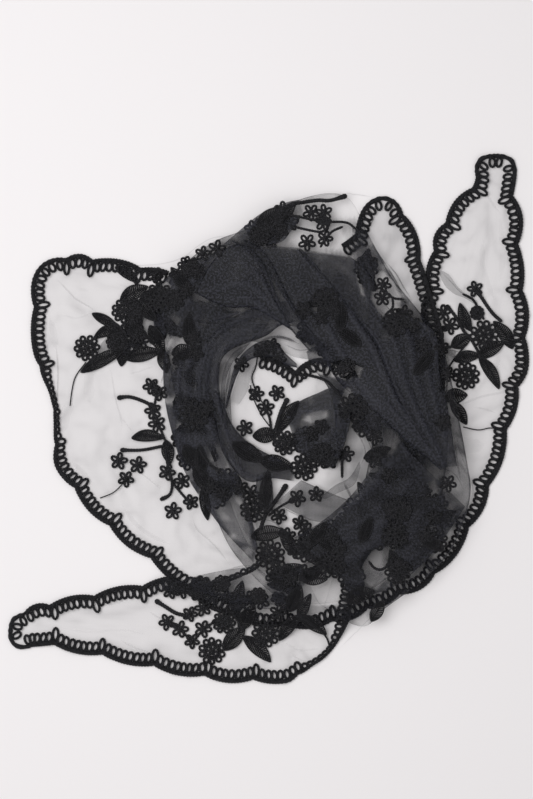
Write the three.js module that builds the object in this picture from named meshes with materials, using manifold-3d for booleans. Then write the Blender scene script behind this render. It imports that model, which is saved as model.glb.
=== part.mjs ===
// Triangular lace headscarf: one sheet of black organza with a scalloped, laddered edging and
// embroidered sprays, lying in a loose swirl on a flat surface. Millimetres, +Z up, with the origin
// on that surface in the middle of the scarf's outline.
import * as THREE from "three";
import { mergeVertices } from "three/addons/utils/BufferGeometryUtils.js";
import Module from "manifold-3d";

const wasm = await Module();
wasm.setup();

// Driving dimensions, in millimetres unless a note says plan units
const planScale = 0.9; // millimetres to one unit of the plan tables below
const planMiddle = { x: 269.06, y: 420.52 }; // the plan point over the origin; plan y runs downwards
const clothThickness = 1.0;
const foldReach = 4.5; // length over which a fold turns, each side of its line
const foldShare = 0.4; // and the most of a run that this takes
const layerSlack = 2.8; // room that an upper turn of the swirl keeps over the layer below it
const slopeStart = 2.0; // an upper turn stays level this far past what it lies on
const slopeLength = 14; // and comes down over this length, and more the higher it lies
const slopePerHeight = 2.2;
const climbShare = 0.35; // share of the second run over which it climbs onto its stack
const trimWidth = 10.4; // edging, from the cloth's edge to the top of a scallop
const trimThickness = 1.3;
const scallopPitch = 43;
const scallopDepth = 3.0;
const seamGap = 0.4; // between the cloth's edge and the edging
const partingGap = 0.6; // that the end of one edging keeps from the next edging, along the edge
const stitchGap = 0.4; // between the cloth and the embroidery on it
const motifThickness = 0.8;
const petals = 5;
const rose = { radius: 11.5, wave: 0.06 }; // wave is how deep the petals cut in, as a share of the radius
const blossom = { radius: 6.8, wave: 0.2 };
const leafWidth = 7.5;
const stemWidth = 2.6;

// Fineness of the facets
const runSteps = [2, 3, 2, 2]; // along each run of a section
const turnSteps = 4; // round a fold
const stationLength = 26; // most that a section may move from one station to the next
const stationsPerRow = 2; // most stations from one row to the next
const underStep = 1 / 6; // rows from one line of the lower turn to the next, for the height over it
const scallopSteps = 4;
const outlineSteps = 20; // round a rose, a leaf or a blossom

const blackCloth = new THREE.MeshStandardMaterial({ color: 0x2b2c31, roughness: 0.75, metalness: 0 });
const blackThread = new THREE.MeshStandardMaterial({ color: 0x17181c, roughness: 0.85, metalness: 0 });

// The scarf lies as a strip that winds once and a half round a middle, from its lower tip to its right
// tip. A row of the table is one section across the strip, in the order that the strip runs. A section
// starts at the long edge, goes in to the lip, out to the crest, in to the tuck and out to a short edge.
// These five are points of the plan, in its units, with y downwards. fold is the height in millimetres
// of the section's stack of folds, and stack says how far the first run takes part in it. turn is 1
// where the strip lies over its own lower turn and -1 on that lower turn, and edge is 1 where the long
// edge too lies over it. mark names the rows where an edging starts or ends.
const corners = ["long", "lip", "crest", "tuck", "short"];
const columns = [...corners, "fold", "stack", "turn", "edge", "mark"];
const lowerTurn = -0.5; // where turn is less than this, something lies on the strip
const table = [
  [[22, 625], [22, 627], [22, 629], [22, 632], [22, 635], 0, 0, 1, 1],
  [[52, 615], [53, 619], [53, 624], [54, 629], [54, 634], 0, 0, 1, 1],
  [[190, 586], [194, 607], [198, 627], [201, 646], [204, 665], 0, 0, 1, 1],
  [[258, 542], [260, 568], [264, 598], [270, 634], [276, 669], 0, 0, 1, 1],
  [[268, 516], [270, 545], [277, 592], [284, 630], [289, 665], 0, 0, 1, 1],
  [[252, 465], [290, 500], [292, 586], [297, 624], [303, 657], 0, 0, 1, 0],
  [[236, 405], [294, 488], [302, 586], [308, 616], [316, 646], 0, 0, 1, 0],
  [[246, 370], [300, 476], [312, 592], [318, 610], [325, 632], 0, 0, 1, 0],
  [[256, 366], [306, 472], [323, 606], [321, 602], [328, 622], 5, 0, 1, 0],
  [[295, 378], [322, 455], [362, 626], [336, 558], [336, 596], 8, 0, 1, 0],
  [[327, 382], [338, 440], [387, 606], [348, 530], [342, 576], 9, 0.1, 1, 0.5],
  [[350, 396], [352, 412], [418, 583], [360, 502], [353, 554], 11, 0.75, 1, 1, "edge goes under"],
  [[362, 414], [359, 420], [448, 553], [366, 474], [375, 522], 12, 0.78, 1, 1],
  [[374, 412], [356, 412], [464, 518], [371, 448], [391, 496], 12, 0.82, 1, 1],
  [[390, 402], [353, 401], [470, 490], [374, 424], [406, 466], 12, 0.9, 1, 1, "edge turned under"],
  [[400, 386], [350, 388], [466, 460], [374, 404], [418, 438], 12, 1, 1, 1],
  [[402, 368], [345, 374], [460, 428], [370, 388], [426, 408], 12, 1, 1, 1],
  [[400, 346], [340, 362], [453, 393], [362, 376], [431, 376], 12, 1, 1, 1],
  [[390, 323], [333, 348], [444, 356], [350, 368], [430, 338], 12, 1, 1, 1],
  [[372, 300], [322, 338], [425, 320], [335, 362], [421, 300], 11, 1, 1, 1],
  [[348, 278], [306, 330], [392, 278], [314, 360], [408, 254], 9, 1, 1, 1],
  [[328, 264], [290, 326], [370, 238], [294, 357], [392, 213], 9, 1, 1, 1],
  [[305, 256], [276, 326], [346, 197], [286, 353], [374, 207], 9, 1, 1, 1],
  [[284, 260], [262, 332], [302, 199], [262, 343], [334, 254], 9, 1, 1, 1],
  [[262, 272], [251, 342], [255, 226], [240, 342], [278, 286], 9, 1, 1, 1],
  [[240, 288], [243, 352], [214, 242], [226, 352], [197, 291], 9, 1, 0, 0],
  [[222, 308], [239, 364], [182, 268], [221, 365], [118, 274], 9, 1, 0, 0],
  [[210, 335], [238, 380], [167, 300], [219, 379], [52, 274], 9, 1, 0, 0, "square corner"],
  [[206, 372], [239, 402], [166, 336], [218, 398], [46, 340], 9, 1, 0, 0],
  [[208, 405], [240, 430], [172, 378], [218, 425], [56, 400], 9, 1, 0, 0],
  [[214, 440], [240, 462], [183, 424], [219, 457], [66, 455], 9, 1, -1, 0],
  [[228, 483], [243, 492], [200, 476], [226, 489], [96, 497], 9, 1, -1, 0],
  [[257, 549], [265, 545], [237, 557], [254, 552], [165, 556], 8, 1, -1, 0],
  [[287, 571], [290, 565], [279, 597], [285, 575], [210, 592], 8, 1, -1, 0],
  [[322, 565], [321, 556], [327, 603], [324, 567], [262, 612], 8, 1, -1, 0],
  [[360, 552], [353, 540], [369, 590], [361, 545], [325, 612], 8, 1, -1, 0],
  [[390, 512], [370, 504], [404, 562], [380, 498], [388, 588], 8, 1, -1, 0],
  [[405, 470], [379, 460], [431, 524], [390, 450], [428, 566], 8, 1, -1, 0],
  [[415, 400], [390, 390], [448, 438], [402, 380], [484, 470], 8, 1, -1, 0, "edge still under"],
  [[420, 366], [404, 358], [447, 398], [416, 352], [499, 418], 8, 1, -1, 0],
  [[428, 346], [421, 347], [449, 372], [432, 347], [507, 388], 7, 1, -1, 0],
  [[431, 337], [434, 338], [455, 356], [453, 350], [511, 376], 5, 1, -1, 0],
  [[434, 326], [443, 333], [456, 342], [470, 350], [514, 362], 0, 1, -1, 0, "edge comes out"],
  [[438, 290], [456, 295], [474, 299], [492, 303], [514, 312], 0, 1, -1, 0],
  [[446, 246], [460, 250], [474, 253], [490, 255], [508, 256], 0, 1, 0, 0],
  [[484, 190], [488, 191], [492, 192], [497, 193], [502, 193], 0, 1, 0, 0],
  [[489, 170], [491, 170], [494, 170], [497, 170], [500, 170], 0, 1, 0, 0],
];
const sections = table.map((row) => Object.fromEntries(row.map((value, k) => [columns[k], value])));
const runCount = corners.length - 1;

function mix(a, b, t) {
  return a + (b - a) * t;
}

function smooth(t) {
  const s = Math.min(1, Math.max(0, t));
  return s * s * (3 - 2 * s);
}

const origin = new THREE.Vector2();

// A plan point of the tables, in millimetres
function planPoint([x, y]) {
  return new THREE.Vector2((x - planMiddle.x) * planScale, (planMiddle.y - y) * planScale);
}

// Catmull-Rom from b to c
function spline(a, b, c, d, t) {
  const startSlope = (c - a) / 2;
  const endSlope = (d - b) / 2;
  const cubic = 2 * b - 2 * c + startSlope + endSlope;
  const square = 3 * (c - b) - 2 * startSlope - endSlope;
  return ((cubic * t + square) * t + startSlope) * t + b;
}

// The section at u rows from the lower tip, in millimetres
function sectionAt(u) {
  const last = sections.length - 1;
  const i = Math.min(Math.floor(u), last - 1);
  const t = u - i;
  const near = [i - 1, i, i + 1, i + 2].map((k) => sections[Math.min(Math.max(k, 0), last)]);
  const place = (name, axis) => spline(...near.map((row) => row[name][axis]), t);
  const level = (name) => mix(sections[i][name], sections[i + 1][name], t);
  const points = corners.map((name) => planPoint([place(name, 0), place(name, 1)]));
  return { points, fold: level("fold"), stack: level("stack"), turn: level("turn"), edge: level("edge") };
}

// Height of a run in the stack, t along it: the second run on top, the first under it, then the others
function runLevel({ fold, stack }, run, t) {
  const heights = [
    (stack * fold * 2) / 3,
    mix(stack * fold, fold, smooth(t / climbShare)),
    fold * mix(1 / 2, 1 / 3, stack),
    0,
  ];
  return heights[run];
}

// The places along the strip, in rows, where the wall has a section
const stations = [0];
for (let i = 0; i < sections.length - 1; i += 1) {
  const here = sectionAt(i).points;
  const next = sectionAt(i + 1).points;
  const travel = Math.max(...here.map((point, k) => point.distanceTo(next[k])));
  const steps = Math.min(stationsPerRow, Math.ceil(travel / stationLength));
  for (let k = 1; k <= steps; k += 1) stations.push(i + k / steps);
}

// What an upper turn lies on: the runs of the lower turn, as plan lines with their height
const underneath = [];
for (let u = 0; u <= sections.length - 1; u += underStep) {
  const section = sectionAt(u);
  if (section.turn > lowerTurn) continue;
  const ends = section.points.map((point) => point.clone());
  const reach = trimWidth + seamGap;
  ends[0].add(ends[0].clone().sub(ends[1]).setLength(reach));
  ends[runCount].add(ends[runCount].clone().sub(ends[runCount - 1]).setLength(reach));
  for (let run = 0; run < runCount; run += 1) {
    const height = Math.max(runLevel(section, run, 0), runLevel(section, run, 1)) + layerSlack;
    underneath.push({ from: ends[run], to: ends[run + 1], height });
  }
}

function distanceToLine(point, from, to) {
  const along = to.clone().sub(from);
  const share = point.clone().sub(from).dot(along) / Math.max(along.lengthSq(), Number.EPSILON);
  const nearest = from.clone().addScaledVector(along, Math.min(1, Math.max(0, share)));
  return nearest.distanceTo(point);
}

// Height that the lower turn gives the upper turn at a plan point
function groundAt(point) {
  let ground = 0;
  for (const { from, to, height } of underneath) {
    const away = distanceToLine(point, from, to) - slopeStart;
    const slope = slopeLength + slopePerHeight * height;
    ground = Math.max(ground, height * (1 - smooth(away / slope)));
  }
  return ground;
}

// One section as points in space, from the long edge to the short edge
function sectionPath(section) {
  const { points } = section;
  const directions = [];
  const lengths = [];
  for (let run = 0; run < runCount; run += 1) {
    const along = points[run + 1].clone().sub(points[run]);
    lengths.push(along.length());
    directions.push(along.normalize());
  }
  const reaches = [0];
  for (let k = 1; k < runCount; k += 1) {
    reaches.push(Math.min(foldReach, foldShare * lengths[k - 1], foldShare * lengths[k]));
  }
  reaches.push(0);
  const path = [];
  const add = (plan, level, share) => {
    const over = Math.max(0, mix(section.edge, section.turn, share));
    const ground = over > 0 ? over * groundAt(plan) : 0;
    path.push(new THREE.Vector3(plan.x, plan.y, clothThickness / 2 + level + ground));
  };
  for (let run = 0; run < runCount; run += 1) {
    const start = points[run].clone().addScaledVector(directions[run], reaches[run]);
    const end = points[run + 1].clone().addScaledVector(directions[run], -reaches[run + 1]);
    for (let k = 0; k <= runSteps[run]; k += 1) {
      const t = k / runSteps[run];
      add(start.clone().lerp(end, t), runLevel(section, run, t), run === 0 ? t : 1);
    }
    if (run + 1 === runCount) break;
    const corner = points[run + 1];
    const reach = reaches[run + 1];
    const levels = [runLevel(section, run, 1), runLevel(section, run + 1, 0)];
    const bend = [
      end,
      corner.clone().addScaledVector(directions[run], reach / 3),
      corner.clone().addScaledVector(directions[run + 1], -reach / 3),
      corner.clone().addScaledVector(directions[run + 1], reach),
    ];
    for (let k = 1; k < turnSteps; k += 1) {
      const t = k / turnSteps;
      const weights = [(1 - t) ** 3, 3 * t * (1 - t) ** 2, 3 * t * t * (1 - t), t ** 3];
      const plan = new THREE.Vector2();
      weights.forEach((weight, n) => plan.addScaledVector(bend[n], weight));
      add(plan, mix(levels[0], levels[1], smooth(t)), 1);
    }
  }
  return path;
}

const cloth = stations.map((u) => sectionPath(sectionAt(u)));
const lastStation = cloth.length - 1;
const lastStep = cloth[0].length - 1;

// The cloth's normal at each point of the grid
const clothNormals = cloth.map((path, i) => path.map((_, j) => {
  const across = path[Math.min(j + 1, lastStep)].clone().sub(path[Math.max(j - 1, 0)]);
  const along = cloth[Math.min(i + 1, lastStation)][j].clone().sub(cloth[Math.max(i - 1, 0)][j]);
  return across.cross(along).normalize();
}));

// A mesh of points and triangles, turned so that its faces point out
function meshFrom(name, vertices, triangles, material) {
  const numbers = vertices.flatMap((vertex) => vertex.toArray());
  const geometry = new THREE.BufferGeometry();
  geometry.setAttribute("position", new THREE.Float32BufferAttribute(numbers, 3));
  let volume = 0;
  for (const [a, b, c] of triangles) {
    volume += vertices[a].dot(vertices[b].clone().cross(vertices[c]));
  }
  geometry.setIndex(triangles.flatMap(([a, b, c]) => (volume > 0 ? [a, b, c] : [a, c, b])));
  geometry.computeVertexNormals();
  const mesh = new THREE.Mesh(geometry, material);
  mesh.name = name;
  return mesh;
}

// A closed wall between two grids of points, the same number of points in each row
function wallBetween(name, front, back, material) {
  const rows = front.length;
  const width = front[0].length;
  const vertices = [...front.flat(), ...back.flat()];
  const behind = rows * width;
  const at = (i, j) => i * width + j;
  const triangles = [];
  const quad = (a, b, c, d) => triangles.push([a, b, c], [a, c, d]);
  for (let i = 0; i + 1 < rows; i += 1) {
    for (let j = 0; j + 1 < width; j += 1) {
      const corners = [at(i, j), at(i + 1, j), at(i + 1, j + 1), at(i, j + 1)];
      quad(...corners);
      quad(...corners.map((k) => k + behind).reverse());
    }
    quad(at(i + 1, 0), at(i, 0), at(i, 0) + behind, at(i + 1, 0) + behind);
    const edge = width - 1;
    quad(at(i, edge), at(i + 1, edge), at(i + 1, edge) + behind, at(i, edge) + behind);
  }
  for (let j = 0; j + 1 < width; j += 1) {
    const end = rows - 1;
    quad(at(0, j), at(0, j + 1), at(0, j + 1) + behind, at(0, j) + behind);
    quad(at(end, j + 1), at(end, j), at(end, j) + behind, at(end, j + 1) + behind);
  }
  return meshFrom(name, vertices, triangles, material);
}

// The cloth's grid, moved along its normals
function clothSide(distance) {
  return cloth.map((path, i) => path.map((point, j) => {
    return point.clone().addScaledVector(clothNormals[i][j], distance);
  }));
}

// Plan way out of the cloth at a point of an edge: side is 1 to the left of the edge, -1 to its right
function wayOut(i, j, side) {
  const before = cloth[Math.max(i - 1, 0)][j];
  const after = cloth[Math.min(i + 1, lastStation)][j];
  return new THREE.Vector2(before.y - after.y, after.x - before.x).multiplyScalar(side).normalize();
}

// The edge from one station to another: its points, the way out there, and the share of the ground that
// it follows
function edgeFrom(first, last, j, side) {
  const share = j === 0 ? "edge" : "turn";
  const edge = [];
  for (let i = first; i <= last; i += 1) {
    const follow = Math.max(0, sectionAt(stations[i])[share]);
    edge.push({ point: cloth[i][j], out: wayOut(i, j, side), follow });
  }
  return edge;
}

// The last point of an edge at a tip, turned halfway towards the tip's own way out, and the tip's middle
function tipOf(i, inner) {
  const out = new THREE.Vector2(cloth[i][0].x - cloth[inner][0].x, cloth[i][0].y - cloth[inner][0].y);
  out.normalize();
  const middle = cloth[i][0].clone().lerp(cloth[i][lastStep], 0.5);
  return { out, middle: { point: middle, out, follow: 0 } };
}

function turnedTo(edgePoint, out) {
  return { ...edgePoint, out: edgePoint.out.clone().add(out).normalize() };
}

// Edging along a list of edge points: a wall whose width swells and shrinks by one scallop after another
function edging(name, edge) {
  const fine = [];
  let length = 0;
  for (let i = 0; i + 1 < edge.length; i += 1) {
    const span = edge[i].point.distanceTo(edge[i + 1].point);
    const steps = Math.max(1, Math.round((span * scallopSteps) / scallopPitch));
    for (let k = 0; k < steps + (i + 2 === edge.length ? 1 : 0); k += 1) {
      const t = k / steps;
      fine.push({
        point: edge[i].point.clone().lerp(edge[i + 1].point, t),
        out: edge[i].out.clone().lerp(edge[i + 1].out, t).normalize(),
        follow: mix(edge[i].follow, edge[i + 1].follow, t),
        length: length + span * t,
      });
    }
    length += span;
  }
  const pitch = length / Math.round(length / scallopPitch);
  const sides = [1, -1].map((side) => fine.map(({ point, out, follow, length: at }) => {
    const width = trimWidth - scallopDepth * (1 - Math.abs(Math.sin((Math.PI * at) / pitch)));
    const root = new THREE.Vector2(point.x, point.y);
    const ground = groundAt(root);
    return [seamGap, width].map((reach) => {
      const plan = root.clone().addScaledVector(out, reach);
      const middle = point.z + (trimThickness - clothThickness) / 2 + follow * (groundAt(plan) - ground);
      return new THREE.Vector3(plan.x, plan.y, middle + (side * trimThickness) / 2);
    });
  }));
  return wallBetween(name, sides[0], sides[1], blackThread);
}

// Shifts the first and the last point of an edge along it, to part one edging from the next
function parted(edge) {
  const moved = edge.slice();
  const shift = (i, inner) => {
    const step = edge[inner].point.clone().sub(edge[i].point).setLength(partingGap);
    moved[i] = { ...edge[i], point: edge[i].point.clone().add(step) };
  };
  shift(0, 1);
  shift(edge.length - 1, edge.length - 2);
  return moved;
}

const stationOf = (mark) => stations.indexOf(sections.findIndex((row) => row.mark === mark));
const lowerTip = tipOf(0, 1);
const rightTip = tipOf(lastStation, lastStation - 1);
const squareCorner = stationOf("square corner");

const lowerLong = edgeFrom(0, stationOf("edge goes under"), 0, 1);
const hiddenLong = edgeFrom(stationOf("edge turned under"), stationOf("edge still under"), 0, -1);
const rightLong = edgeFrom(stationOf("edge comes out"), lastStation, 0, 1);
const leftShort = edgeFrom(0, squareCorner, lastStep, -1);
const rightShort = edgeFrom(squareCorner, lastStation, lastStep, -1);
leftShort[0] = turnedTo(leftShort[0], lowerTip.out);
rightShort[rightShort.length - 1] = turnedTo(rightShort[rightShort.length - 1], rightTip.out);
const roundLowerTip = [leftShort[0], lowerTip.middle, turnedTo(lowerLong[0], lowerTip.out)];
const roundRightTip = [turnedTo(rightLong[rightLong.length - 1], rightTip.out), rightTip.middle,
  rightShort[rightShort.length - 1]];

// Height of the topmost run of the cloth over a plan point
function clothTop(x, y) {
  let top = -Infinity;
  const check = (a, b, c) => {
    const area = (b.x - a.x) * (c.y - a.y) - (c.x - a.x) * (b.y - a.y);
    const second = ((x - a.x) * (c.y - a.y) - (c.x - a.x) * (y - a.y)) / area;
    const third = ((b.x - a.x) * (y - a.y) - (x - a.x) * (b.y - a.y)) / area;
    if (second >= 0 && third >= 0 && second + third <= 1) {
      top = Math.max(top, a.z + second * (b.z - a.z) + third * (c.z - a.z));
    }
  };
  for (let i = 0; i < lastStation; i += 1) {
    for (let j = 0; j < lastStep; j += 1) {
      const corners = [cloth[i][j], cloth[i + 1][j], cloth[i + 1][j + 1], cloth[i][j + 1]];
      if (corners.every((p) => p.x < x) || corners.every((p) => p.x > x)) continue;
      if (corners.every((p) => p.y < y) || corners.every((p) => p.y > y)) continue;
      check(corners[0], corners[1], corners[2]);
      check(corners[0], corners[2], corners[3]);
    }
  }
  return top;
}

// Embroidery: plates that follow the cloth under them. at is the plan point of the middle, turn the
// angle in degrees from the plan's x, and length is in plan units.
const motifs = {
  rose: [
    { at: [125, 311] }, { at: [86, 347] }, { at: [222, 622] }, { at: [211, 648] }, { at: [266, 631] },
    { at: [284, 446] }, { at: [305, 466] }, { at: [486, 332] }, { at: [469, 378] },
  ],
  leaf: [
    { at: [110, 362], turn: 28, length: 34 }, { at: [141, 352], turn: -55, length: 30 },
    { at: [135, 291], turn: 12, length: 22 }, { at: [101, 318], turn: 62, length: 24 },
    { at: [148, 438], turn: 4, length: 28 }, { at: [168, 452], turn: 80, length: 26 },
    { at: [244, 629], turn: 62, length: 17 }, { at: [260, 654], turn: -42, length: 24 },
    { at: [290, 626], turn: 20, length: 24 }, { at: [266, 432], turn: -8, length: 22 },
    { at: [466, 314], turn: -62, length: 22 }, { at: [493, 356], turn: -50, length: 26 },
  ],
  blossom_spray: [
    { stem: [[118, 397], [138, 401], [157, 411]], blossoms: [[151, 386], [155, 424]] },
    { stem: [[120, 449], [140, 452], [160, 464]], blossoms: [[119, 462], [138, 466], [126, 480]] },
    { stem: [[166, 472], [176, 484], [180, 500]], blossoms: [[167, 473], [184, 482], [174, 510]] },
    { stem: [[156, 600], [170, 607], [184, 614]], blossoms: [[190, 612], [166, 623], [180, 629]] },
    { stem: [[288, 398], [281, 412], [275, 428]], blossoms: [[277, 393], [256, 394], [266, 408]] },
    { stem: [[450, 306], [460, 322], [467, 340]], blossoms: [[447, 313], [453, 329]] },
  ],
};

// An outline that runs round a middle, each point given by its angle
function outlineRound(middle, pointAt) {
  const points = [];
  for (let k = 0; k < outlineSteps; k += 1) {
    points.push(pointAt((2 * Math.PI * k) / outlineSteps).add(middle));
  }
  return points;
}

// A flower's outline, whose edge waves in and out once for each petal
function petalled(at, { radius, wave }) {
  return outlineRound(planPoint(at), (angle) => {
    const reach = radius * (1 - wave + wave * Math.cos(petals * angle));
    return new THREE.Vector2(Math.cos(angle), Math.sin(angle)).multiplyScalar(reach);
  });
}

// A leaf's outline, pointed at both ends
function leafShape({ at, turn, length }) {
  return outlineRound(planPoint(at), (angle) => {
    const along = (Math.cos(angle) * length * planScale) / 2;
    const aside = (Math.sin(angle) * Math.abs(Math.sin(angle)) * leafWidth) / 2;
    return new THREE.Vector2(along, aside).rotateAround(origin, THREE.MathUtils.degToRad(turn));
  });
}

// A strip of even width along a line of plan points
function stripAlong(line, width) {
  const points = line.map(planPoint);
  const sides = points.map((point, k) => {
    const before = points[Math.max(k - 1, 0)];
    const after = points[Math.min(k + 1, points.length - 1)];
    return new THREE.Vector2(before.y - after.y, after.x - before.x).setLength(width / 2);
  });
  const left = points.map((point, k) => point.clone().add(sides[k]));
  const right = points.map((point, k) => point.clone().sub(sides[k]));
  return [...right, ...left.reverse()];
}

// The strip that ties a blossom to the nearest point of its stem, or none where it sits on that point
function linkTo(stem, at) {
  const away = (point) => planPoint(point).distanceTo(planPoint(at));
  const nearest = stem.reduce((best, point) => (away(point) < away(best) ? point : best));
  return away(nearest) < stemWidth ? [] : [stripAlong([nearest, at], stemWidth)];
}

const outlines = {
  rose: ({ at }) => [petalled(at, rose)],
  leaf: (place) => [leafShape(place)],
  blossom_spray: ({ stem, blossoms }) => [
    stripAlong(stem, stemWidth),
    ...blossoms.flatMap((at) => linkTo(stem, at)),
    ...blossoms.map((at) => petalled(at, blossom)),
  ],
};

// One solid from a list of outlines: joined flat, then laid on the cloth point by point
function stitched(name, shapes) {
  const solids = shapes.map((points) => {
    const geometry = new THREE.ExtrudeGeometry(new THREE.Shape(points), { depth: 1, bevelEnabled: false });
    geometry.deleteAttribute("normal");
    geometry.deleteAttribute("uv");
    const merged = mergeVertices(geometry);
    return new wasm.Manifold(new wasm.Mesh({
      numProp: 3,
      vertProperties: Float32Array.from(merged.getAttribute("position").array),
      triVerts: Uint32Array.from(merged.index.array),
    }));
  });
  const joined = solids.reduce((whole, solid) => whole.add(solid)).getMesh();
  const vertices = [];
  for (let k = 0; k < joined.vertProperties.length; k += 3) {
    const [x, y, level] = joined.vertProperties.slice(k, k + 3);
    const bottom = clothTop(x, y) + clothThickness / 2 + stitchGap;
    vertices.push(new THREE.Vector3(x, y, bottom + level * motifThickness));
  }
  const triangles = [];
  for (let k = 0; k < joined.triVerts.length; k += 3) {
    triangles.push([...joined.triVerts.slice(k, k + 3)]);
  }
  return meshFrom(name, vertices, triangles, blackThread);
}

const scarf = new THREE.Group();
const half = clothThickness / 2;
scarf.add(wallBetween("organza_sheet", clothSide(half), clothSide(-half), blackCloth));
scarf.add(edging("long_side_edging_lower", [...roundLowerTip, ...lowerLong.slice(1)]));
scarf.add(edging("long_side_edging_inner", hiddenLong));
scarf.add(edging("long_side_edging_right", [...rightLong.slice(0, -1), ...roundRightTip]));
scarf.add(edging("left_side_edging", parted(leftShort)));
scarf.add(edging("right_side_edging", parted(rightShort)));

for (const [kind, places] of Object.entries(motifs)) {
  places.forEach((place, i) => scarf.add(stitched(`${kind}_${i + 1}`, outlines[kind](place))));
}

export default scarf;
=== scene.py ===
import math
import random

import bpy
import numpy as np
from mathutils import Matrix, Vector, noise
from mathutils.bvhtree import BVHTree


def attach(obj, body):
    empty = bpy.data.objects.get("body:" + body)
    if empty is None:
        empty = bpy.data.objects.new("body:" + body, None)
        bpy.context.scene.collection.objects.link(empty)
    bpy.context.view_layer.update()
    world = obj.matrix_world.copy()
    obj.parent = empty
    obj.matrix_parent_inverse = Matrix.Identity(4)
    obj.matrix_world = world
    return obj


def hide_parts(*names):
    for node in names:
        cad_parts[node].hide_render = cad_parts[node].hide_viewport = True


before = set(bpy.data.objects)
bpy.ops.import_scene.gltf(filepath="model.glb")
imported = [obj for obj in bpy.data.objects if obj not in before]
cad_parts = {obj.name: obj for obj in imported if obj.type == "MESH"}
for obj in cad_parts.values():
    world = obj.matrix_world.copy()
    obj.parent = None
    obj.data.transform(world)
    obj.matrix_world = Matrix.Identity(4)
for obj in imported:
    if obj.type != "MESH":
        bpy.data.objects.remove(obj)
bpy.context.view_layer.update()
random.seed(11)

# the plan of the swirl: its units to metres, and the plan point over the origin; plan y runs downwards
plan = {"scale": 0.0009, "middleX": 269.06, "middleY": 420.52}
mm = 0.001
tiny = 1e-12


def planPoints(points):
    spots = np.asarray(points, float)
    return np.stack([(spots[:, 0] - plan["middleX"]) * plan["scale"],
                     (plan["middleY"] - spots[:, 1]) * plan["scale"]], axis=1)


# from 0 to 1 with a level start and end
def smooth(share):
    s = np.clip(share, 0, 1)
    return s * s * (3 - 2 * s)


# a table's rows as dictionaries; a short row leaves its last columns out
def tableOf(columns, rows):
    return [dict(zip(columns, row)) for row in rows]


# how far flat spots lie from the straight stretch between two points
def awayFrom(spots, start, end):
    along = end - start
    share = np.clip((spots - start) @ along / max(along @ along, tiny), 0, 1)
    return np.linalg.norm(spots - start - share[:, None] * along, axis=1)


# for each plan point the index of the spot nearest to it
def nearestTo(spots, points):
    return [int(np.argmin(np.linalg.norm(spots[:, :2] - mark, axis=1))) for mark in planPoints(points)]


# the length along a line at each of its points
def lengthsAlong(line):
    return np.concatenate([[0], np.cumsum(np.linalg.norm(np.diff(line, axis=0), axis=1))])


def unitWays(ways):
    return ways / np.maximum(np.linalg.norm(ways, axis=1), tiny)[:, None]


# flat unit vectors to the left of each way
def leftOf(ways):
    flat = unitWays(ways[:, :2])
    return np.column_stack([-flat[:, 1], flat[:, 0]])


# a mesh as an object; with a slot it is a piece of the scarf, shaded smooth
def addPiece(name, spots, faces, material=None, slot=None):
    mesh = bpy.data.meshes.new(name)
    mesh.from_pydata([tuple(spot) for spot in spots], [], [tuple(face) for face in faces])
    if slot:
        mesh.polygons.foreach_set("use_smooth", [True] * len(mesh.polygons))
    mesh.update()
    piece = bpy.data.objects.new(name, mesh)
    bpy.context.collection.objects.link(piece)
    if material:
        mesh.materials.append(material)
    if slot:
        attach(piece, "root")
    return piece


def addAttribute(mesh, name, values):
    layer = mesh.attributes.new(name, "FLOAT", "POINT")
    layer.data.foreach_set("value", np.asarray(values, np.float32))


# camera, straight above, far off with a long lens, so that one plan unit is one pixel of a 533 wide picture
view = {"width": 533, "height": 799, "distance": 4.0, "sensor": 36.0, "farthest": 20}


def makeCamera():
    data = bpy.data.cameras.new("camera")
    data.sensor_fit = "HORIZONTAL"
    data.sensor_width = view["sensor"]
    data.lens = view["sensor"] * view["distance"] / (view["width"] * plan["scale"])
    data.clip_end = view["farthest"]
    camera = bpy.data.objects.new("camera", data)
    bpy.context.collection.objects.link(camera)
    middle = planPoints([[view["width"] / 2, view["height"] / 2]])[0]
    camera.location = (middle[0], middle[1], view["distance"])
    bpy.context.scene.camera = camera


makeCamera()
print("camera set")

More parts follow.
